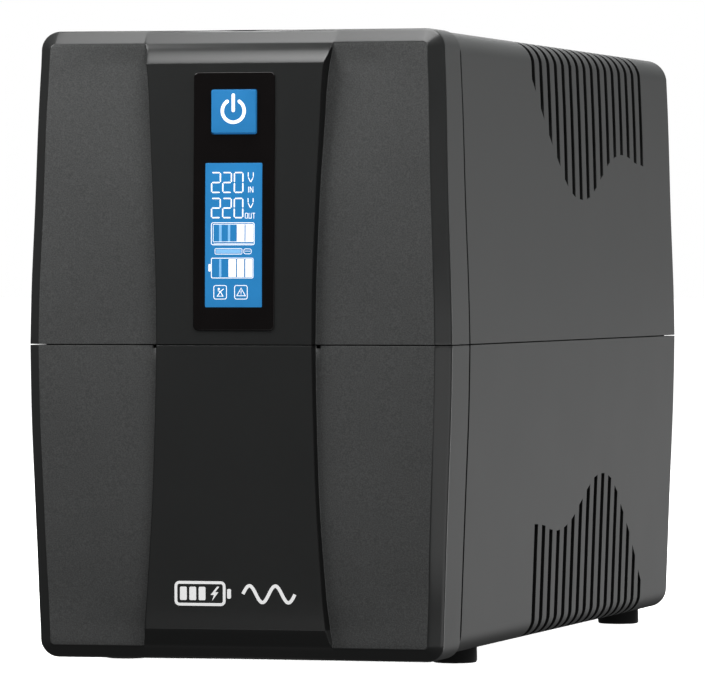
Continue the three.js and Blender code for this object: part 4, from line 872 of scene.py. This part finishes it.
def small(word, cx0, cx1, cy0, cy1, w=0.16):
    n = len(word); x0, x1, z1, z0 = PX(cx0), PX(cx1), PZ(cy0), PZ(cy1)
    widths = {"I": 0.35, "N": 1.0, "O": 1.0, "U": 1.0, "T": 1.0}; gap = 0.22
    tot = sum(widths[c] for c in word); u = (x1 - x0 - gap * (n - 1)) / tot; x = x0
    for c in word:
        a, b = x, x + widths[c] * u
        if c == "I": white.append(stroke((a + b) / 2, z0, (a + b) / 2, z1, w))
        if c == "N":
            white.append(stroke(a + w / 2, z0, a + w / 2, z1, w)); white.append(stroke(b - w / 2, z0, b - w / 2, z1, w)); white.append(stroke(a + w / 2, z1 - 0.03, b - w / 2, z0 + 0.03, w))
        if c == "O": white.append(frame_of(a, b, z0, z1, 0.22, w))
        if c == "U": white.append(stroke(a + w / 2, z0, a + w / 2, z1, w)); white.append(stroke(b - w / 2, z0, b - w / 2, z1, w)); white.append(stroke(a, z0 + w / 2, b, z0 + w / 2, w))
        if c == "T": white.append(stroke((a + b) / 2, z0, (a + b) / 2, z1, w)); white.append(stroke(a, z1 - w / 2, b, z1 - w / 2, w))
        x = b + gap
small("IN", 457, 508, 345, 400)
small("OUT", 430, 528, 594, 647)
# monitor with bars
white.append(frame_of(PX(107), PX(522), PZ(900), PZ(684), 0.55, 0.20))
white.append(frame_of(PX(126), PX(510), PZ(870), PZ(700), 0.18, 0.13))
for a, b, l in ((184, 208, 1), (268, 290, 1), (354, 426, 0), (437, 508, 0)):
    (pale if l else white).append(rect(PX(a), PX(b), PZ(866), PZ(704)))
white.append(stroke(PX(132), PZ(886), PX(508), PZ(886), 0.13))
white.append(frame_of(PX(143), PX(405), PZ(988), PZ(930), 0.35, 0.15))
pale.append(rect(PX(156), PX(392), PZ(978), PZ(940), 0.2))
white.append(frame_of(PX(418), PX(494), PZ(985), PZ(932), 0.55, 0.16))
white.append(stroke(PX(430), PZ(957), PX(482), PZ(957), 0.12))
# battery with bars
white.append(frame_of(PX(108), PX(512), PZ(1215), PZ(1020), 0.40, 0.20))
white.append(rect(PX(84), PX(104), PZ(1150), PZ(1080), 0.15))
for a, b, l in ((186, 206, 1), (275, 345, 0), (357, 423, 0), (436, 500, 0)):
    (pale if l else white).append(rect(PX(a), PX(b), PZ(1202), PZ(1034)))
# two framed symbols: a running figure of bars and a warning triangle
for c in (197, 395): white.append(frame_of(PX(c - 65), PX(c + 62), PZ(1415), PZ(1280), 0.62, 0.19))
x, z = PX(197), PZ(1347)
white.append([(x - 0.45 + 0.30 * math.cos(a), z + 0.92 + 0.30 * math.sin(a)) for a in [math.pi * 2 * i / 10 for i in range(10)]])
white += [stroke(x - 0.85, z - 1.10, x + 0.10, z + 0.30, 0.22), stroke(x + 0.75, z - 1.10, x + 0.02, z + 0.20, 0.22), stroke(x - 0.05, z + 0.15, x + 1.0, z + 0.95, 0.22), stroke(x - 0.75, z + 0.42, x + 0.15, z + 0.15, 0.18), stroke(x - 1.05, z - 1.12, x + 0.95, z - 1.12, 0.16)]
x = PX(395)
tri = lambda r, dz=0.0: [(x + r * math.cos(math.radians(a)), z - 0.28 + dz + r * math.sin(math.radians(a))) for a in (90, 210, 330, 450)]
white.append([tri(1.62), tri(1.26)])
white += [stroke(x, z - 0.38, x, z + 0.52, 0.18), rect(x - 0.1, x + 0.1, z - 0.78, z - 0.60)]
lcd_front = lambda z: pan_y_up(z) - 0.535
figures("lcd_figures", white, lcd_front, 0.2, M["white"], slot="button_white")
figures("lcd_bars", pale, lcd_front, 0.2, M["paleblue"], slot="lcd_blue")

# power button: cap, flange and stem
cap = slab("button_cap", 6.45, 152.55, 164.7, 0.45, 0.0, -154.6, 0.14, M["button"], None, (), yfun=lambda z: -158.0)
fl = block("button_flange", (-7.6, -154.65, 151.3), (7.6, -153.7, 165.7), edge=0.25, seg=2, mat=M["button"])
st = lathe("button_stem", [(0.001, -150.7), (1.5, -150.7), (1.8, -151.0), (1.8, -153.8), (0.001, -153.8)], (0, 158.5), n=24, mat=M["button"])
def arc(cx, cz, r, a0, a1, n=40): return [(cx + r * math.cos(math.radians(a0 + (a1 - a0) * i / n)), cz + r * math.sin(math.radians(a0 + (a1 - a0) * i / n))) for i in range(n + 1)]
ZB = 158.72
ro_, ri_ = 3.70, 2.72
ring_ = [arc(0, ZB, ro_, 90 + 33, 90 + 327), arc(0, ZB, ri_, 90 + 33 , 90 + 327)]
bar_ = rr(-0.49, 0.49, ZB - 0.35, ZB + 4.95, 0.45, 5)
caps_ = [[( (ro_ + ri_) / 2 * math.cos(math.radians(a)) + 0.49 * math.cos(t), ZB + (ro_ + ri_) / 2 * math.sin(math.radians(a)) + 0.49 * math.sin(t)) for t in [math.pi * 2 * i / 16 for i in range(16)]] for a in (90 + 33, 90 - 33)]
sym = figures("power_symbol", [ring_, bar_] + caps_, lambda z: -158.06, 0.2, M["white"])
join("power_button_cap", [cap, fl, st, sym], body="power_button", replaces=("power_button",), slot="button_blue", angle=30)

# emblem on the lower front: a plain battery pictogram
ex0, ex1, ez0, ez1 = -17.5, -2.5, 18.6, 25.6
pol = [frame_of(ex0, ex1, ez0, ez1, 1.4, 0.8, 5), rr(ex1 + 0.45, ex1 + 1.6, ez0 + 2.1, ez1 - 2.1, 0.45, 3)]
for i in range(3): pol.append(rr(ex0 + 1.6 + i * 2.75, ex0 + 3.6 + i * 2.75, ez0 + 1.6, ez1 - 1.6, 0.35, 3))
b0 = ex0 + 11.3
pol.append([(b0 + 1.2, ez1 - 1.5), (b0 - 0.7, ez0 + 3.1), (b0 + 0.3, ez0 + 3.1), (b0 - 0.3, ez0 + 1.4), (b0 + 1.6, ez0 + 3.9), (b0 + 0.6, ez0 + 3.9), (b0 + 1.9, ez1 - 1.5)])
# followed by one smooth wave
wz, wa, wl, wx = (ez0 + ez1) / 2, 2.35, 7.6, 2.6
def wave_pt(u, off):
    x = wx + u; th = 2 * math.pi * u / wl; z = wz + wa * math.sin(th); s = wa * 2 * math.pi / wl * math.cos(th); l = math.hypot(1, s)
    return (x - s / l * off, z + off / l)
us = [15.2 * i / 90 for i in range(91)]
pol.append([[wave_pt(u, 0.48) for u in us], [wave_pt(u, -0.48) for u in us]])
# the pictogram glows by emission: painted light
figures("front_pictogram", pol, lambda z: pan_y_lo(z) - 0.05, 0.25, M["print"], slot="button_white")

# ------------------------------------------------------------------ feet and case screws
for nm, x, y in (("foot_front_left", -49.5, -96), ("foot_front_right", 49.5, -96), ("foot_rear_left", -49.5, 129), ("foot_rear_right", 49.5, 129)):
    lathe(nm + "_pad", [(0.001, 0.55), (3.2, 0.55), (3.5, 0.45), (3.7, 0.1), (3.95, 0.0), (5.7, 0.0), (6.1, 0.1), (6.38, 0.4), (6.5, 0.95), (6.46, 2.6), (6.44, 4.95), (6.3, 5.05), (0.001, 5.05)],
          (x, y), axis="Z", n=48, mat=M["rubber"], replaces=(nm,), slot="rubber_black", angle=32)
for i, (x, y) in enumerate(((-40, 16.6), (40, 16.6), (-40, 116), (40, 116))):
    prof = [(0.001, 6.58), (1.6, 6.62), (2.7, 6.85), (3.35, 7.25), (3.58, 7.8), (3.6, 8.5), (3.45, 8.6), (1.5, 8.62)]
    t = 8.9
    while t < 14.4: prof += [(1.5, t), (1.22, t + 0.25), (1.5, t + 0.5)]; t += 0.6
    prof += [(0.6, 15.0), (0.001, 15.05)]
    o = lathe("case_screw_body_%d" % (i + 1), prof, (x, y), axis="Z", n=36, mat=M["zinc"], replaces=("case_screw_%d" % (i + 1),), slot="zinc_steel", angle=32)
    c1 = tool([(x + a, y + b, c) for a in (-2.1, 2.1) for b in (-0.42, 0.42) for c in (6.0, 7.7)], [(0, 1, 3, 2), (4, 6, 7, 5), (0, 4, 5, 1), (2, 3, 7, 6), (0, 2, 6, 4), (1, 5, 7, 3)])
    c2 = tool([(x + b, y + a, c) for a in (-2.1, 2.1) for b in (-0.42, 0.42) for c in (6.0, 7.7)], [(0, 1, 3, 2), (4, 6, 7, 5), (0, 4, 5, 1), (2, 3, 7, 6), (0, 2, 6, 4), (1, 5, 7, 3)])
    cut_with(o, [c1, c2]); finish_obj(o, M["zinc"], "chassis", ("case_screw_%d" % (i + 1),), "zinc_steel", 32)

# ------------------------------------------------------------------ rear panel and what it carries
def inner_outline(inset):
    pts = []
    for z in (92.5, 105, 120, 133.4, 145, 156, 164): pts.append((half(z) - inset, z))
    r = 7.2 - inset; zc = 174.7; cx = half(zc) - 7.2
    for i in range(11):
        a = math.pi / 2 * i / 10; pts.append((cx + r * math.cos(a), zc + r * math.sin(a)))
    r2 = 6.2 - inset; zc2 = 10.2; cx2 = half(zc2) - 6.2
    low = [(half(z) - inset, z) for z in (80, 65, 48.5, 31.5, 20)]
    for i in range(11):
        a = math.pi / 2 * i / 10; low.append((cx2 + r2 * math.cos(a), zc2 - r2 * math.sin(a)))
    right = list(reversed(low)) + pts
    return right + [(-x, z) for x, z in reversed(right)]
OUTLETS = [(-26, 36), (26, 36), (-26, 84), (26, 84)]
FX, FZ, IX, IZ, BX, BZ, SX, SZ, UX, UZ = -29, 145, 33, 151, 45, 119.5, 17.5, 119, 4.6, 160
holes = [circle(x, z, 21.9, 64) for x, z in OUTLETS] + [circle(FX, FZ, 23.6, 72)]
holes += [rr(IX - 14.3, IX + 14.3, IZ - 17.3, IZ + 17.3, 0.4, 2), circle(BX, BZ, 5.9, 32), rr(SX - 14.3, SX + 14.3, SZ - 6.8, SZ + 6.8, 0.4, 2), rr(UX - 6.3, UX + 6.3, UZ - 5.8, UZ + 5.8, 0.4, 2)]
holes += [circle(FX + a * 20, FZ + b * 20, 1.7, 20) for a in (-1, 1) for b in (-1, 1)]
plate("rear_plate", [inner_outline(2.8)] + holes, 151.8, 154.4, edge=0.2, res=1, mat=M["rear"], replaces=("rear_panel",), slot="rear_black")

def strip(name, path, hx, t, x, axis_mat, **kw):
    """a bent metal strip: path in Y and Z, half width hx along X"""
    n = len(path); verts, faces = [], []
    for i, (y, z) in enumerate(path):
        a = path[max(i - 1, 0)]; b = path[min(i + 1, n - 1)]
        dy, dz = b[0] - a[0], b[1] - a[1]; l = math.hypot(dy, dz) or 1; ny, nz = -dz / l * t / 2, dy / l * t / 2
        for sx, s in ((-1, 1), (1, 1), (1, -1), (-1, -1)): verts.append((x + sx * hx, y + s * ny, z + s * nz))
    for i in range(n - 1):
        for k in range(4): faces.append((4 * i + k, 4 * i + (k + 1) % 4, 4 * i + 4 + (k + 1) % 4, 4 * i + 4 + k))
    faces += [(3, 2, 1, 0), tuple(4 * (n - 1) + k for k in range(4))]
    o = new_obj(name, verts, faces, mat=axis_mat, angle=40, **kw)
    bevel(o, 0.12, 2, 50); return o

for n_, (x, z) in enumerate(OUTLETS):
    i = n_ + 1; f, front, fl_ = 154.7, 156.7, 139.2
    prof = [(0.001, 136.2), (21.2, 136.2), (21.5, 136.5), (21.5, f), (22.9, f), (23.0, f + 0.1), (23.0, front - 0.75), (22.9, front - 0.4), (22.68, front - 0.14), (22.35, front), (20.2, front), (19.85, front - 0.1), (19.6, front - 0.35), (19.5, front - 0.7),
            (19.5, fl_ + 0.5), (19.35, fl_ + 0.15), (19.0, fl_), (15.8, fl_), (15.6, fl_ - 0.25), (15.0, fl_ - 0.25), (14.8, fl_), (0.001, fl_)]
    o = lathe("outlet_body_%d" % i, prof, (x, z), n=96, mat=M["socket"], replaces=("outlet_%d" % i,), slot="socket_black", angle=28)
    tools = [tool_cyl((x + s * 9.5, z), 2.6, 131, fl_ + 2, axis="Y", n=32) for s in (-1, 1)]
    tools += [tool_cyl((x + s * 9.5, z), 2.55, fl_ - 0.55, fl_ + 0.05, axis="Y", n=32, r2=3.2) for s in (-1, 1)]
    for s in (-1, 1):
        za_, zb_ = sorted((z + s * 16.6, z + s * 19.2))
        tools.append(tool([(x + a, b, c) for a in (-3, 3) for b in (131, fl_ + 3) for c in (za_, zb_)], [(0, 1, 3, 2), (4, 6, 7, 5), (0, 4, 5, 1), (2, 3, 7, 6), (0, 2, 6, 4), (1, 5, 7, 3)]))
    cut_with(o, tools); finish_obj(o, M["socket"], "chassis", ("outlet_%d" % i,), "socket_black", 28)
    leg = [(152.2, 18.62), (151.7, 18.35), (150.6, 17.75), (149.0, 17.35), (146.5, 17.3), (143.5, 17.55), (140.5, 17.9), (137.5, 18.1), (136.0, 18.05), (135.55, 17.8), (135.4, 17.3)]
    path = [(y, z + d) for y, d in leg] + [(135.4, z + 8), (135.4, z), (135.4, z - 8)] + [(y, z - d) for y, d in reversed(leg)]
    strip("earth_spring_%d" % i, path, 2.2, 0.55, x, M["nickel"], replaces=("earth_clip_%d" % i,), slot="nickel")
    # dark contacts behind the pin holes
    for s, t_ in ((-1, "l"), (1, "r")):
        lathe("outlet_contact_%d_%s" % (i, t_), [(2.3, 137.6), (2.3, 132.4), (1.7, 132.2), (1.7, 137.6), (2.0, 137.75), (2.3, 137.6)], (x + s * 9.5, z), n=24, mat=M["gold"], slot="nickel", angle=40)

# appliance inlet, pins, fuse drawer, fuse
w_ = [(IX - 12.1, IZ - 3.4), (IX + 12.1, IZ - 3.4), (IX + 12.1, IZ + 8.5), (IX + 8, IZ + 13.1), (IX - 8, IZ + 13.1), (IX - 12.1, IZ + 8.5)]
def rounded(poly, r, k=4):
    out = []; n = len(poly)
    for i in range(n):
        p = Vector(poly[i]); a = (Vector(poly[i - 1]) - p).normalized(); b = (Vector(poly[(i + 1) % n]) - p).normalized()
        for j in range(k + 1):
            t = j / k; q = (1 - t) ** 2 * (p + a * r) + 2 * t * (1 - t) * p + t * t * (p + b * r); out.append((q.x, q.y))
    return out
well = rounded(w_, 0.9); drawer_pocket = rr(IX - 12.3, IX + 12.3, IZ - 15.3, IZ - 6.1, 0.4, 2)
a_ = plate("inlet_flange", [rr(IX - 17.5, IX + 17.5, IZ - 20.5, IZ + 20.5, 2, 6), well, drawer_pocket], 154.7, 156.7, edge=0.35, res=2, mat=M["socket"])
b_ = plate("inlet_walls", [rr(IX - 14, IX + 14, IZ - 17, IZ + 17, 0.8, 3), well, drawer_pocket], 137.5, 154.8, edge=0.05, res=1, mat=M["socket"])
pinh = [rr(IX + px - 1.4, IX + px + 1.4, IZ + pz - 2.4, IZ + pz + 2.4, 0.3, 2) for px, pz in ((0, 6.6), (-7, 2.4), (7, 2.4))]
c_ = plate("inlet_floor", [rr(IX - 13.9, IX + 13.9, IZ - 16.9, IZ + 16.9, 0.6, 2)] + pinh + [rr(IX - 12.3, IX + 12.3, IZ - 15.3, IZ - 6.1, 0.4, 2)], 134.7, 139.7, edge=0.1, res=1, mat=M["socket"])
e_ = [block("inlet_back", (IX - 14, 134.7, IZ - 17), (IX + 14, 136.2, IZ - 5.5), edge=0.3, seg=2, mat=M["socket"])]
join("inlet_housing", [a_, b_, c_] + e_, body="chassis", replaces=("inlet_body",), slot="socket_black", angle=30)
for nm, px, pz in (("inlet_pin_earth", 0, 6.6), ("inlet_pin_left", -7, 2.4), ("inlet_pin_right", 7, 2.4)):
    verts, faces = [], []; rings = [(128.7, 1, 2), (128.75, 1, 2), (148.6, 1, 2), (149.2, 0.93, 1.92), (149.9, 0.75, 1.72), (150.3, 0.58, 1.52), (150.5, 0.4, 1.3)]
    pts0 = rr(-1, 1, -2, 2, 0.35, 4)
    for y, u, v in rings:
        for a, b in pts0: verts.append((IX + px + a * u, y, IZ + pz + b * v / 2))
    m_ = len(pts0)
    for j in range(len(rings) - 1):
        for q in range(m_): faces.append((j * m_ + q, j * m_ + (q + 1) % m_, (j + 1) * m_ + (q + 1) % m_, (j + 1) * m_ + q))
    faces += [tuple(range(m_ - 1, -1, -1)), tuple((len(rings) - 1) * m_ + q for q in range(m_))]
    new_obj(nm + "_blade", verts, faces, mat=M["nickel"], replaces=(nm,), slot="nickel", angle=40)
dr = [plate("dr_face", [rr(IX - 12, IX + 12, IZ - 15, IZ - 6.4, 0.5, 4)], 151.7, 156.3, edge=0.3, res=3, mat=M["module"]),
      block("dr_floor", (IX - 12, 136.9, IZ - 15), (IX + 12, 153, IZ - 13.8), edge=0.2, seg=2, mat=M["module"]),
      block("dr_back", (IX - 12, 136.9, IZ - 15), (IX + 12, 138.2, IZ - 6.4), edge=0.2, seg=2, mat=M["module"]),
      block("dr_l", (IX - 12, 136.9, IZ - 15), (IX - 10.5, 153, IZ - 6.4), edge=0.2, seg=2, mat=M["module"]),
      block("dr_r", (IX + 10.5, 136.9, IZ - 15), (IX + 12, 153, IZ - 6.4), edge=0.2, seg=2, mat=M["module"]),
      block("dr_grip", (IX - 4, 155.9, IZ - 12), (IX + 4, 157.5, IZ - 9.6), edge=0.45, seg=3, mat=M["module"])]
for k in range(4): dr.append(block("dr_rib%d" % k, (IX - 3.0 + k * 1.7, 157.3, IZ - 11.6), (IX - 2.1 + k * 1.7, 157.7, IZ - 10.0), edge=0.15, seg=2, mat=M["module"]))
join("fuse_drawer_body", dr, body="fuse_drawer", replaces=("fuse_drawer",), slot="module_black", angle=30)
def turned_x(name, prof, y, z, n=32, **kw):
    verts, faces = [], []
    for r, t in prof:
        for i in range(n): verts.append((t, y + r * math.cos(2 * math.pi * i / n), z + r * math.sin(2 * math.pi * i / n)))
    for j in range(len(prof) - 1):
        for i in range(n): faces.append((j * n + i, j * n + (i + 1) % n, (j + 1) * n + (i + 1) % n, (j + 1) * n + i))
    return new_obj(name, verts, faces, **kw)
g1 = turned_x("fz_glass", [(0.001, IX - 6), (2.3, IX - 6), (2.3, IX + 6), (0.001, IX + 6)], 145.7, 140.6, mat=M["fuse_glass"], angle=40)
caps2 = [turned_x("fz_cap%d" % s, [(0.001, IX + s * 9), (2.1, IX + s * 9), (2.4, IX + s * 8.85), (2.5, IX + s * 8.5), (2.5, IX + s * 5.2), (2.25, IX + s * 5.0), (0.001, IX + s * 5.0)], 145.7, 140.6, mat=M["nickel"], angle=40) for s in (-1, 1)]
join("fuse_link", [g1] + caps2, body="fuse_drawer", replaces=("fuse",), slot="nickel", angle=35)

# breaker
f = 154.7
bb = block("bk_box", (BX - 8, f - 30, BZ - 6), (BX + 8, f - 9.5, BZ + 6), edge=0.6, seg=3, mat=M["module"])
bb2 = plate("bk_front", [rr(BX - 8, BX + 8, BZ - 6, BZ + 6, 0.6, 3), circle(BX, BZ, 3.6, 32)], f - 9.6, f - 3.2, edge=0.3, res=2, mat=M["module"])
prof = [(3.6, f - 9.4), (3.6, f + 0.95), (3.75, f + 1.15), (4.0, f + 1.2), (5.2, f + 1.2), (5.5, f + 0.95)]
t = f + 0.7
while t > f - 3.0: prof += [(5.5, t), (5.28, t - 0.18), (5.5, t - 0.36)]; t -= 0.4
prof += [(5.5, f - 3.3), (3.6, f - 3.3)]
nk = lathe("bk_neck", prof, (BX, BZ), n=48, mat=M["module"], angle=30)
hexp = [(BX + 8.3 * math.cos(math.pi / 3 * i + math.pi / 6), BZ + 8.3 * math.sin(math.pi / 3 * i + math.pi / 6)) for i in range(6)]
nt_ = plate("bk_nut", [rounded(hexp, 0.5, 3), circle(BX, BZ, 5.55, 36)], f + 0.1, f + 1.3, edge=0.25, res=2, mat=M["zinc"])
join("breaker_housing", [bb, bb2, nk, nt_], body="chassis", replaces=("breaker_body",), slot="module_black", angle=30)
lathe("breaker_reset", [(0.001, f - 8), (3.1, f - 8), (3.3, f - 7.8), (3.3, f + 2.0), (3.2, f + 2.3), (2.95, f + 2.52), (2.5, f + 2.6), (1.2, f + 2.5), (0.001, f + 2.47)], (BX, BZ), n=40, mat=M["greywhite"], body="breaker_button", replaces=("breaker_button",), slot="button_white", angle=32)

# surge-protected line ports
wells = []
for d in (-6.9, 6.9):
    x, z = SX + d, SZ
    wells.append([(x - 5.9, z - 4.6), (x - 2.9, z - 4.6), (x - 2.9, z - 6.0), (x + 2.9, z - 6.0), (x + 2.9, z - 4.6), (x + 5.9, z - 4.6), (x + 5.9, z + 3.6), (x - 5.9, z + 3.6)])
s1_ = plate("sp_body", [rr(SX - 14, SX + 14, SZ - 6.5, SZ + 6.5, 0.5, 3)] + wells, 143.0, 155.7, edge=0.12, res=1, mat=M["socket"])
s2_ = plate("sp_back", [rr(SX - 14, SX + 14, SZ - 6.5, SZ + 6.5, 0.5, 3)], 140.7, 143.1, edge=0.12, res=1, mat=M["socket"])
join("surge_ports", [s1_, s2_], body="chassis", replaces=("surge_port",), slot="socket_black", angle=30)
for q, d in enumerate((-6.9, 6.9)):
    cts = [wire("ct%d_%d" % (q, k), [(SX + d - 3.57 + 1.02 * k, 143.2, SZ + 3.0), (SX + d - 3.57 + 1.02 * k, 150.0, SZ + 2.9), (SX + d - 3.57 + 1.02 * k, 153.2, SZ + 2.6), (SX + d - 3.57 + 1.02 * k, 153.6, SZ + 2.2), (SX + d - 3.57 + 1.02 * k, 153.0, SZ + 1.7), (SX + d - 3.57 + 1.02 * k, 146.0, SZ - 1.2)], 0.2, n=8, mat=M["gold"], angle=60) for k in range(8)]
    join("surge_contacts_%d" % (q + 1), cts, body="chassis", slot="nickel", angle=60)

# data port
w2 = [(UX + a, UZ + c) for a, c in ((-4.25, -4), (4.25, -4), (4.25, 2.1), (2.5, 3.9), (-2.5, 3.9), (-4.25, 2.1))]
u1 = plate("up_shell", [rr(UX - 6, UX + 6, UZ - 5.5, UZ + 5.5, 0.4, 3), rounded(w2, 0.3, 2)], 143.2, 155.7, edge=0.2, res=2, mat=M["port"])
u2 = plate("up_back", [rr(UX - 6, UX + 6, UZ - 5.5, UZ + 5.5, 0.4, 3)], 140.7, 143.3, edge=0.2, res=2, mat=M["port"])
u3 = block("up_tongue", (UX - 2.8, 142.2, UZ - 1.7), (UX + 2.8, 150.2, UZ + 1.4), edge=0.25, seg=2, mat=M["socket"])
u4 = [block("up_c%d" % k, (UX - 2.0 + 2.4 * (k % 2), 143.5, (UZ + 1.35 if k < 2 else UZ - 1.75)), (UX - 0.4 + 2.4 * (k % 2), 149.8, (UZ + 1.5 if k < 2 else UZ - 1.6)), edge=0.05, seg=1, mat=M["gold"]) for k in range(4)]
join("usb_socket", [u1, u2, u3] + u4, body="chassis", replaces=("usb_port",), slot="port_metal", angle=30)

# fan
y0, y1 = 136.5, 151.5
out_ = rr(FX - 25, FX + 25, FZ - 25, FZ + 25, 3, 8)
scr = [circle(FX + a * 20, FZ + b * 20, 1.7, 20) for a in (-1, 1) for b in (-1, 1)]
f1 = plate("ff_rear", [out_, circle(FX, FZ, 23.6, 80)] + scr, y1 - 3.0, y1, edge=0.3, res=2, mat=M["socket"])
f2 = plate("ff_front", [out_, circle(FX, FZ, 23.6, 80)] + scr, y0, y0 + 3.0, edge=0.3, res=2, mat=M["socket"])
f3 = lathe("ff_tube", [(23.6, y0 + 0.3), (23.6, y1 - 0.3), (24.7, y1 - 0.3), (24.7, y0 + 0.3), (23.6, y0 + 0.3)], (FX, FZ), n=80, mat=M["socket"], angle=40)
f4 = lathe("ff_hub", [(0.001, y0), (8.6, y0), (9.0, y0 + 0.4), (9.0, y0 + 1.8), (8.8, y0 + 2.0), (0.001, y0 + 2.0)], (FX, FZ), n=48, mat=M["socket"], angle=40)
fs = []
for k in range(4):
    a = math.radians(90 * k + 45); c, s = math.cos(a), math.sin(a); q = 1.2
    fs.append(plate("ff_arm%d" % k, [[(FX + 8 * c + q * s, FZ + 8 * s - q * c), (FX + 24.2 * c + q * s, FZ + 24.2 * s - q * c), (FX + 24.2 * c - q * s, FZ + 24.2 * s + q * c), (FX + 8 * c - q * s, FZ + 8 * s + q * c)]], y0, y0 + 2.0, edge=0.3, res=2, mat=M["socket"]))
    fs.append(lathe("ff_post%d" % k, [(1.7, y0 + 0.2), (1.7, y1 - 0.2), (3.2, y1 - 0.2), (3.2, y0 + 0.2), (1.7, y0 + 0.2)], (FX + (20 if c > 0 else -20), FZ + (20 if s > 0 else -20)), n=24, mat=M["socket"], angle=40))
join("fan_housing", [f1, f2, f3, f4] + fs, body="chassis", replaces=("fan_frame",), slot="socket_black", angle=30)
r0, r1 = y0 + 2.6, y1 - 0.8
hub = lathe("fr_hub", [(0.001, r0), (9.1, r0), (9.4, r0 + 0.3), (9.5, r0 + 0.7), (9.5, r1 - 1.0), (9.35, r1 - 0.4), (8.9, r1 - 0.05), (8.3, r1), (4.0, r1), (3.8, r1 - 0.15), (0.001, r1 - 0.15)], (FX, FZ), n=56, mat=M["socket"], angle=30)
bl = []
for k in range(7):
    ang = 2 * math.pi * k / 7; verts, faces = [], []; NR, NCH = 8, 8
    ym = (r0 + r1) / 2
    for side in (1, -1):
        for i in range(NR + 1):
            r = 9.3 + (22.3 - 9.3) * i / NR; tw = 0.95 - 0.02 * (r - 8); sweep = 0.10 * ((r - 9.3) / 13) ** 1.5
            for j in range(NCH + 1):
                u = j / NCH - 0.5; chord = 9.6 + 1.6 * (r - 9.3) / 13
                camber = 0.9 * (1 - (2 * u) ** 2); th = 0.5 * math.sqrt(max(0.02, 1 - (2 * u) ** 2)) * 0.9 + 0.12
                p = u * chord; q = camber + side * th * 0.75
                tang = p * math.cos(tw) - q * math.sin(tw); ax = p * math.sin(tw) + q * math.cos(tw)
                ax = max(-5.5, min(5.5, ax))
                th_a = ang + sweep + tang / max(r, 1)
                verts.append((FX + r * math.cos(th_a), ym + ax, FZ + r * math.sin(th_a)))
    n1_ = (NR + 1) * (NCH + 1)
    idx = lambda i, j, s: (0 if s > 0 else n1_) + i * (NCH + 1) + j
    for i in range(NR):
        for j in range(NCH):
            faces.append((idx(i, j, 1), idx(i, j + 1, 1), idx(i + 1, j + 1, 1), idx(i + 1, j, 1)))
            faces.append((idx(i, j, -1), idx(i + 1, j, -1), idx(i + 1, j + 1, -1), idx(i, j + 1, -1)))
    for i in range(NR):
        for j in (0, NCH): faces.append((idx(i, j, 1), idx(i + 1, j, 1), idx(i + 1, j, -1), idx(i, j, -1)))
    for j in range(NCH):
        for i in (0, NR): faces.append((idx(i, j, 1), idx(i, j, -1), idx(i, j + 1, -1), idx(i, j + 1, 1)))
    bl.append(new_obj("fr_blade%d" % k, verts, faces, mat=M["socket"], angle=50))
join("fan_impeller", [hub] + bl, body="fan_rotor", replaces=("fan_rotor",), slot="socket_black", angle=35)
g0 = 154.7; gd = []
for r in (8, 15, 22): gd.append(wire("gd_ring%d" % r, [(FX + r * math.cos(2 * math.pi * i / 64), g0 + 1.1, FZ + r * math.sin(2 * math.pi * i / 64)) for i in range(64)], 0.75, cyclic=True, n=12, mat=M["zinc"], angle=80))
for k in range(4):
    a = math.radians(90 * k + 45); c, s = math.cos(a), math.sin(a)
    gd.append(wire("gd_spoke%d" % k, [(FX + r * c, g0 + y, FZ + r * s) for r, y in ((7.0, 0.95), (12, 0.9), (18, 0.85), (22, 0.8), (25.2, 0.72))], 0.7, n=12, mat=M["zinc"], angle=80))
    cx_, cz_ = FX + 28.3 * c, FZ + 28.3 * s
    gd.append(wire("gd_eye%d" % k, [(cx_ + 2.45 * math.cos(2 * math.pi * i / 32), g0 + 0.72, cz_ + 2.45 * math.sin(2 * math.pi * i / 32)) for i in range(32)], 0.7, cyclic=True, n=12, mat=M["zinc"], angle=80))
join("fan_grille", gd, body="chassis", replaces=("fan_guard",), slot="zinc_steel", angle=80)

# ------------------------------------------------------------------ parts inside the case keep their own solids
INSIDE = {"lcd_module": ("module", 0.25), "display_board": ("pcb", 0.12), "tact_switch": ("module", 0.25), "lcd_spacer": ("tray", 0.25), "buzzer": ("module", 0.3),
          "battery_bracket": ("zinc", 0.3), "transformer_core": ("core", 0.5), "transformer_winding": ("winding", 0.8), "transformer_frame": ("zinc", 0.4),
          "board_tray": ("tray", 0.4), "main_board": ("pcb", 0.15), "heat_sink": ("alu", 0.25), "relay": ("relay", 0.5), "capacitor": ("cap", 0.9),
          "battery_lead_red": ("red", 0.0), "battery_lead_black": ("black", 0.0), "ribbon_cable": ("ribbon", 0.1)}
for i in (1, 2):
    INSIDE["battery_%d" % i] = ("battery", 1.2)
    for t in ("negative", "positive"): INSIDE["battery_%d_%s" % (i, t)] = ("tin", 0.2)
for nm, (mt, w) in INSIDE.items():
    o = NODES[nm]
    o.data.materials.clear(); o.data.materials.append(M[mt])
    if w: bevel(o, w, 3, 40)
    elif hasattr(o.data, "shade_smooth"):
        e_m = o.modifiers.new("edge", "BEVEL"); e_m.width = 0.2 * MM; e_m.segments = 2; e_m.limit_method = "ANGLE"; e_m.angle_limit = math.radians(60)
    o if isinstance(frame.get("slots"), dict) and nm in frame.get("slots", {}) else None
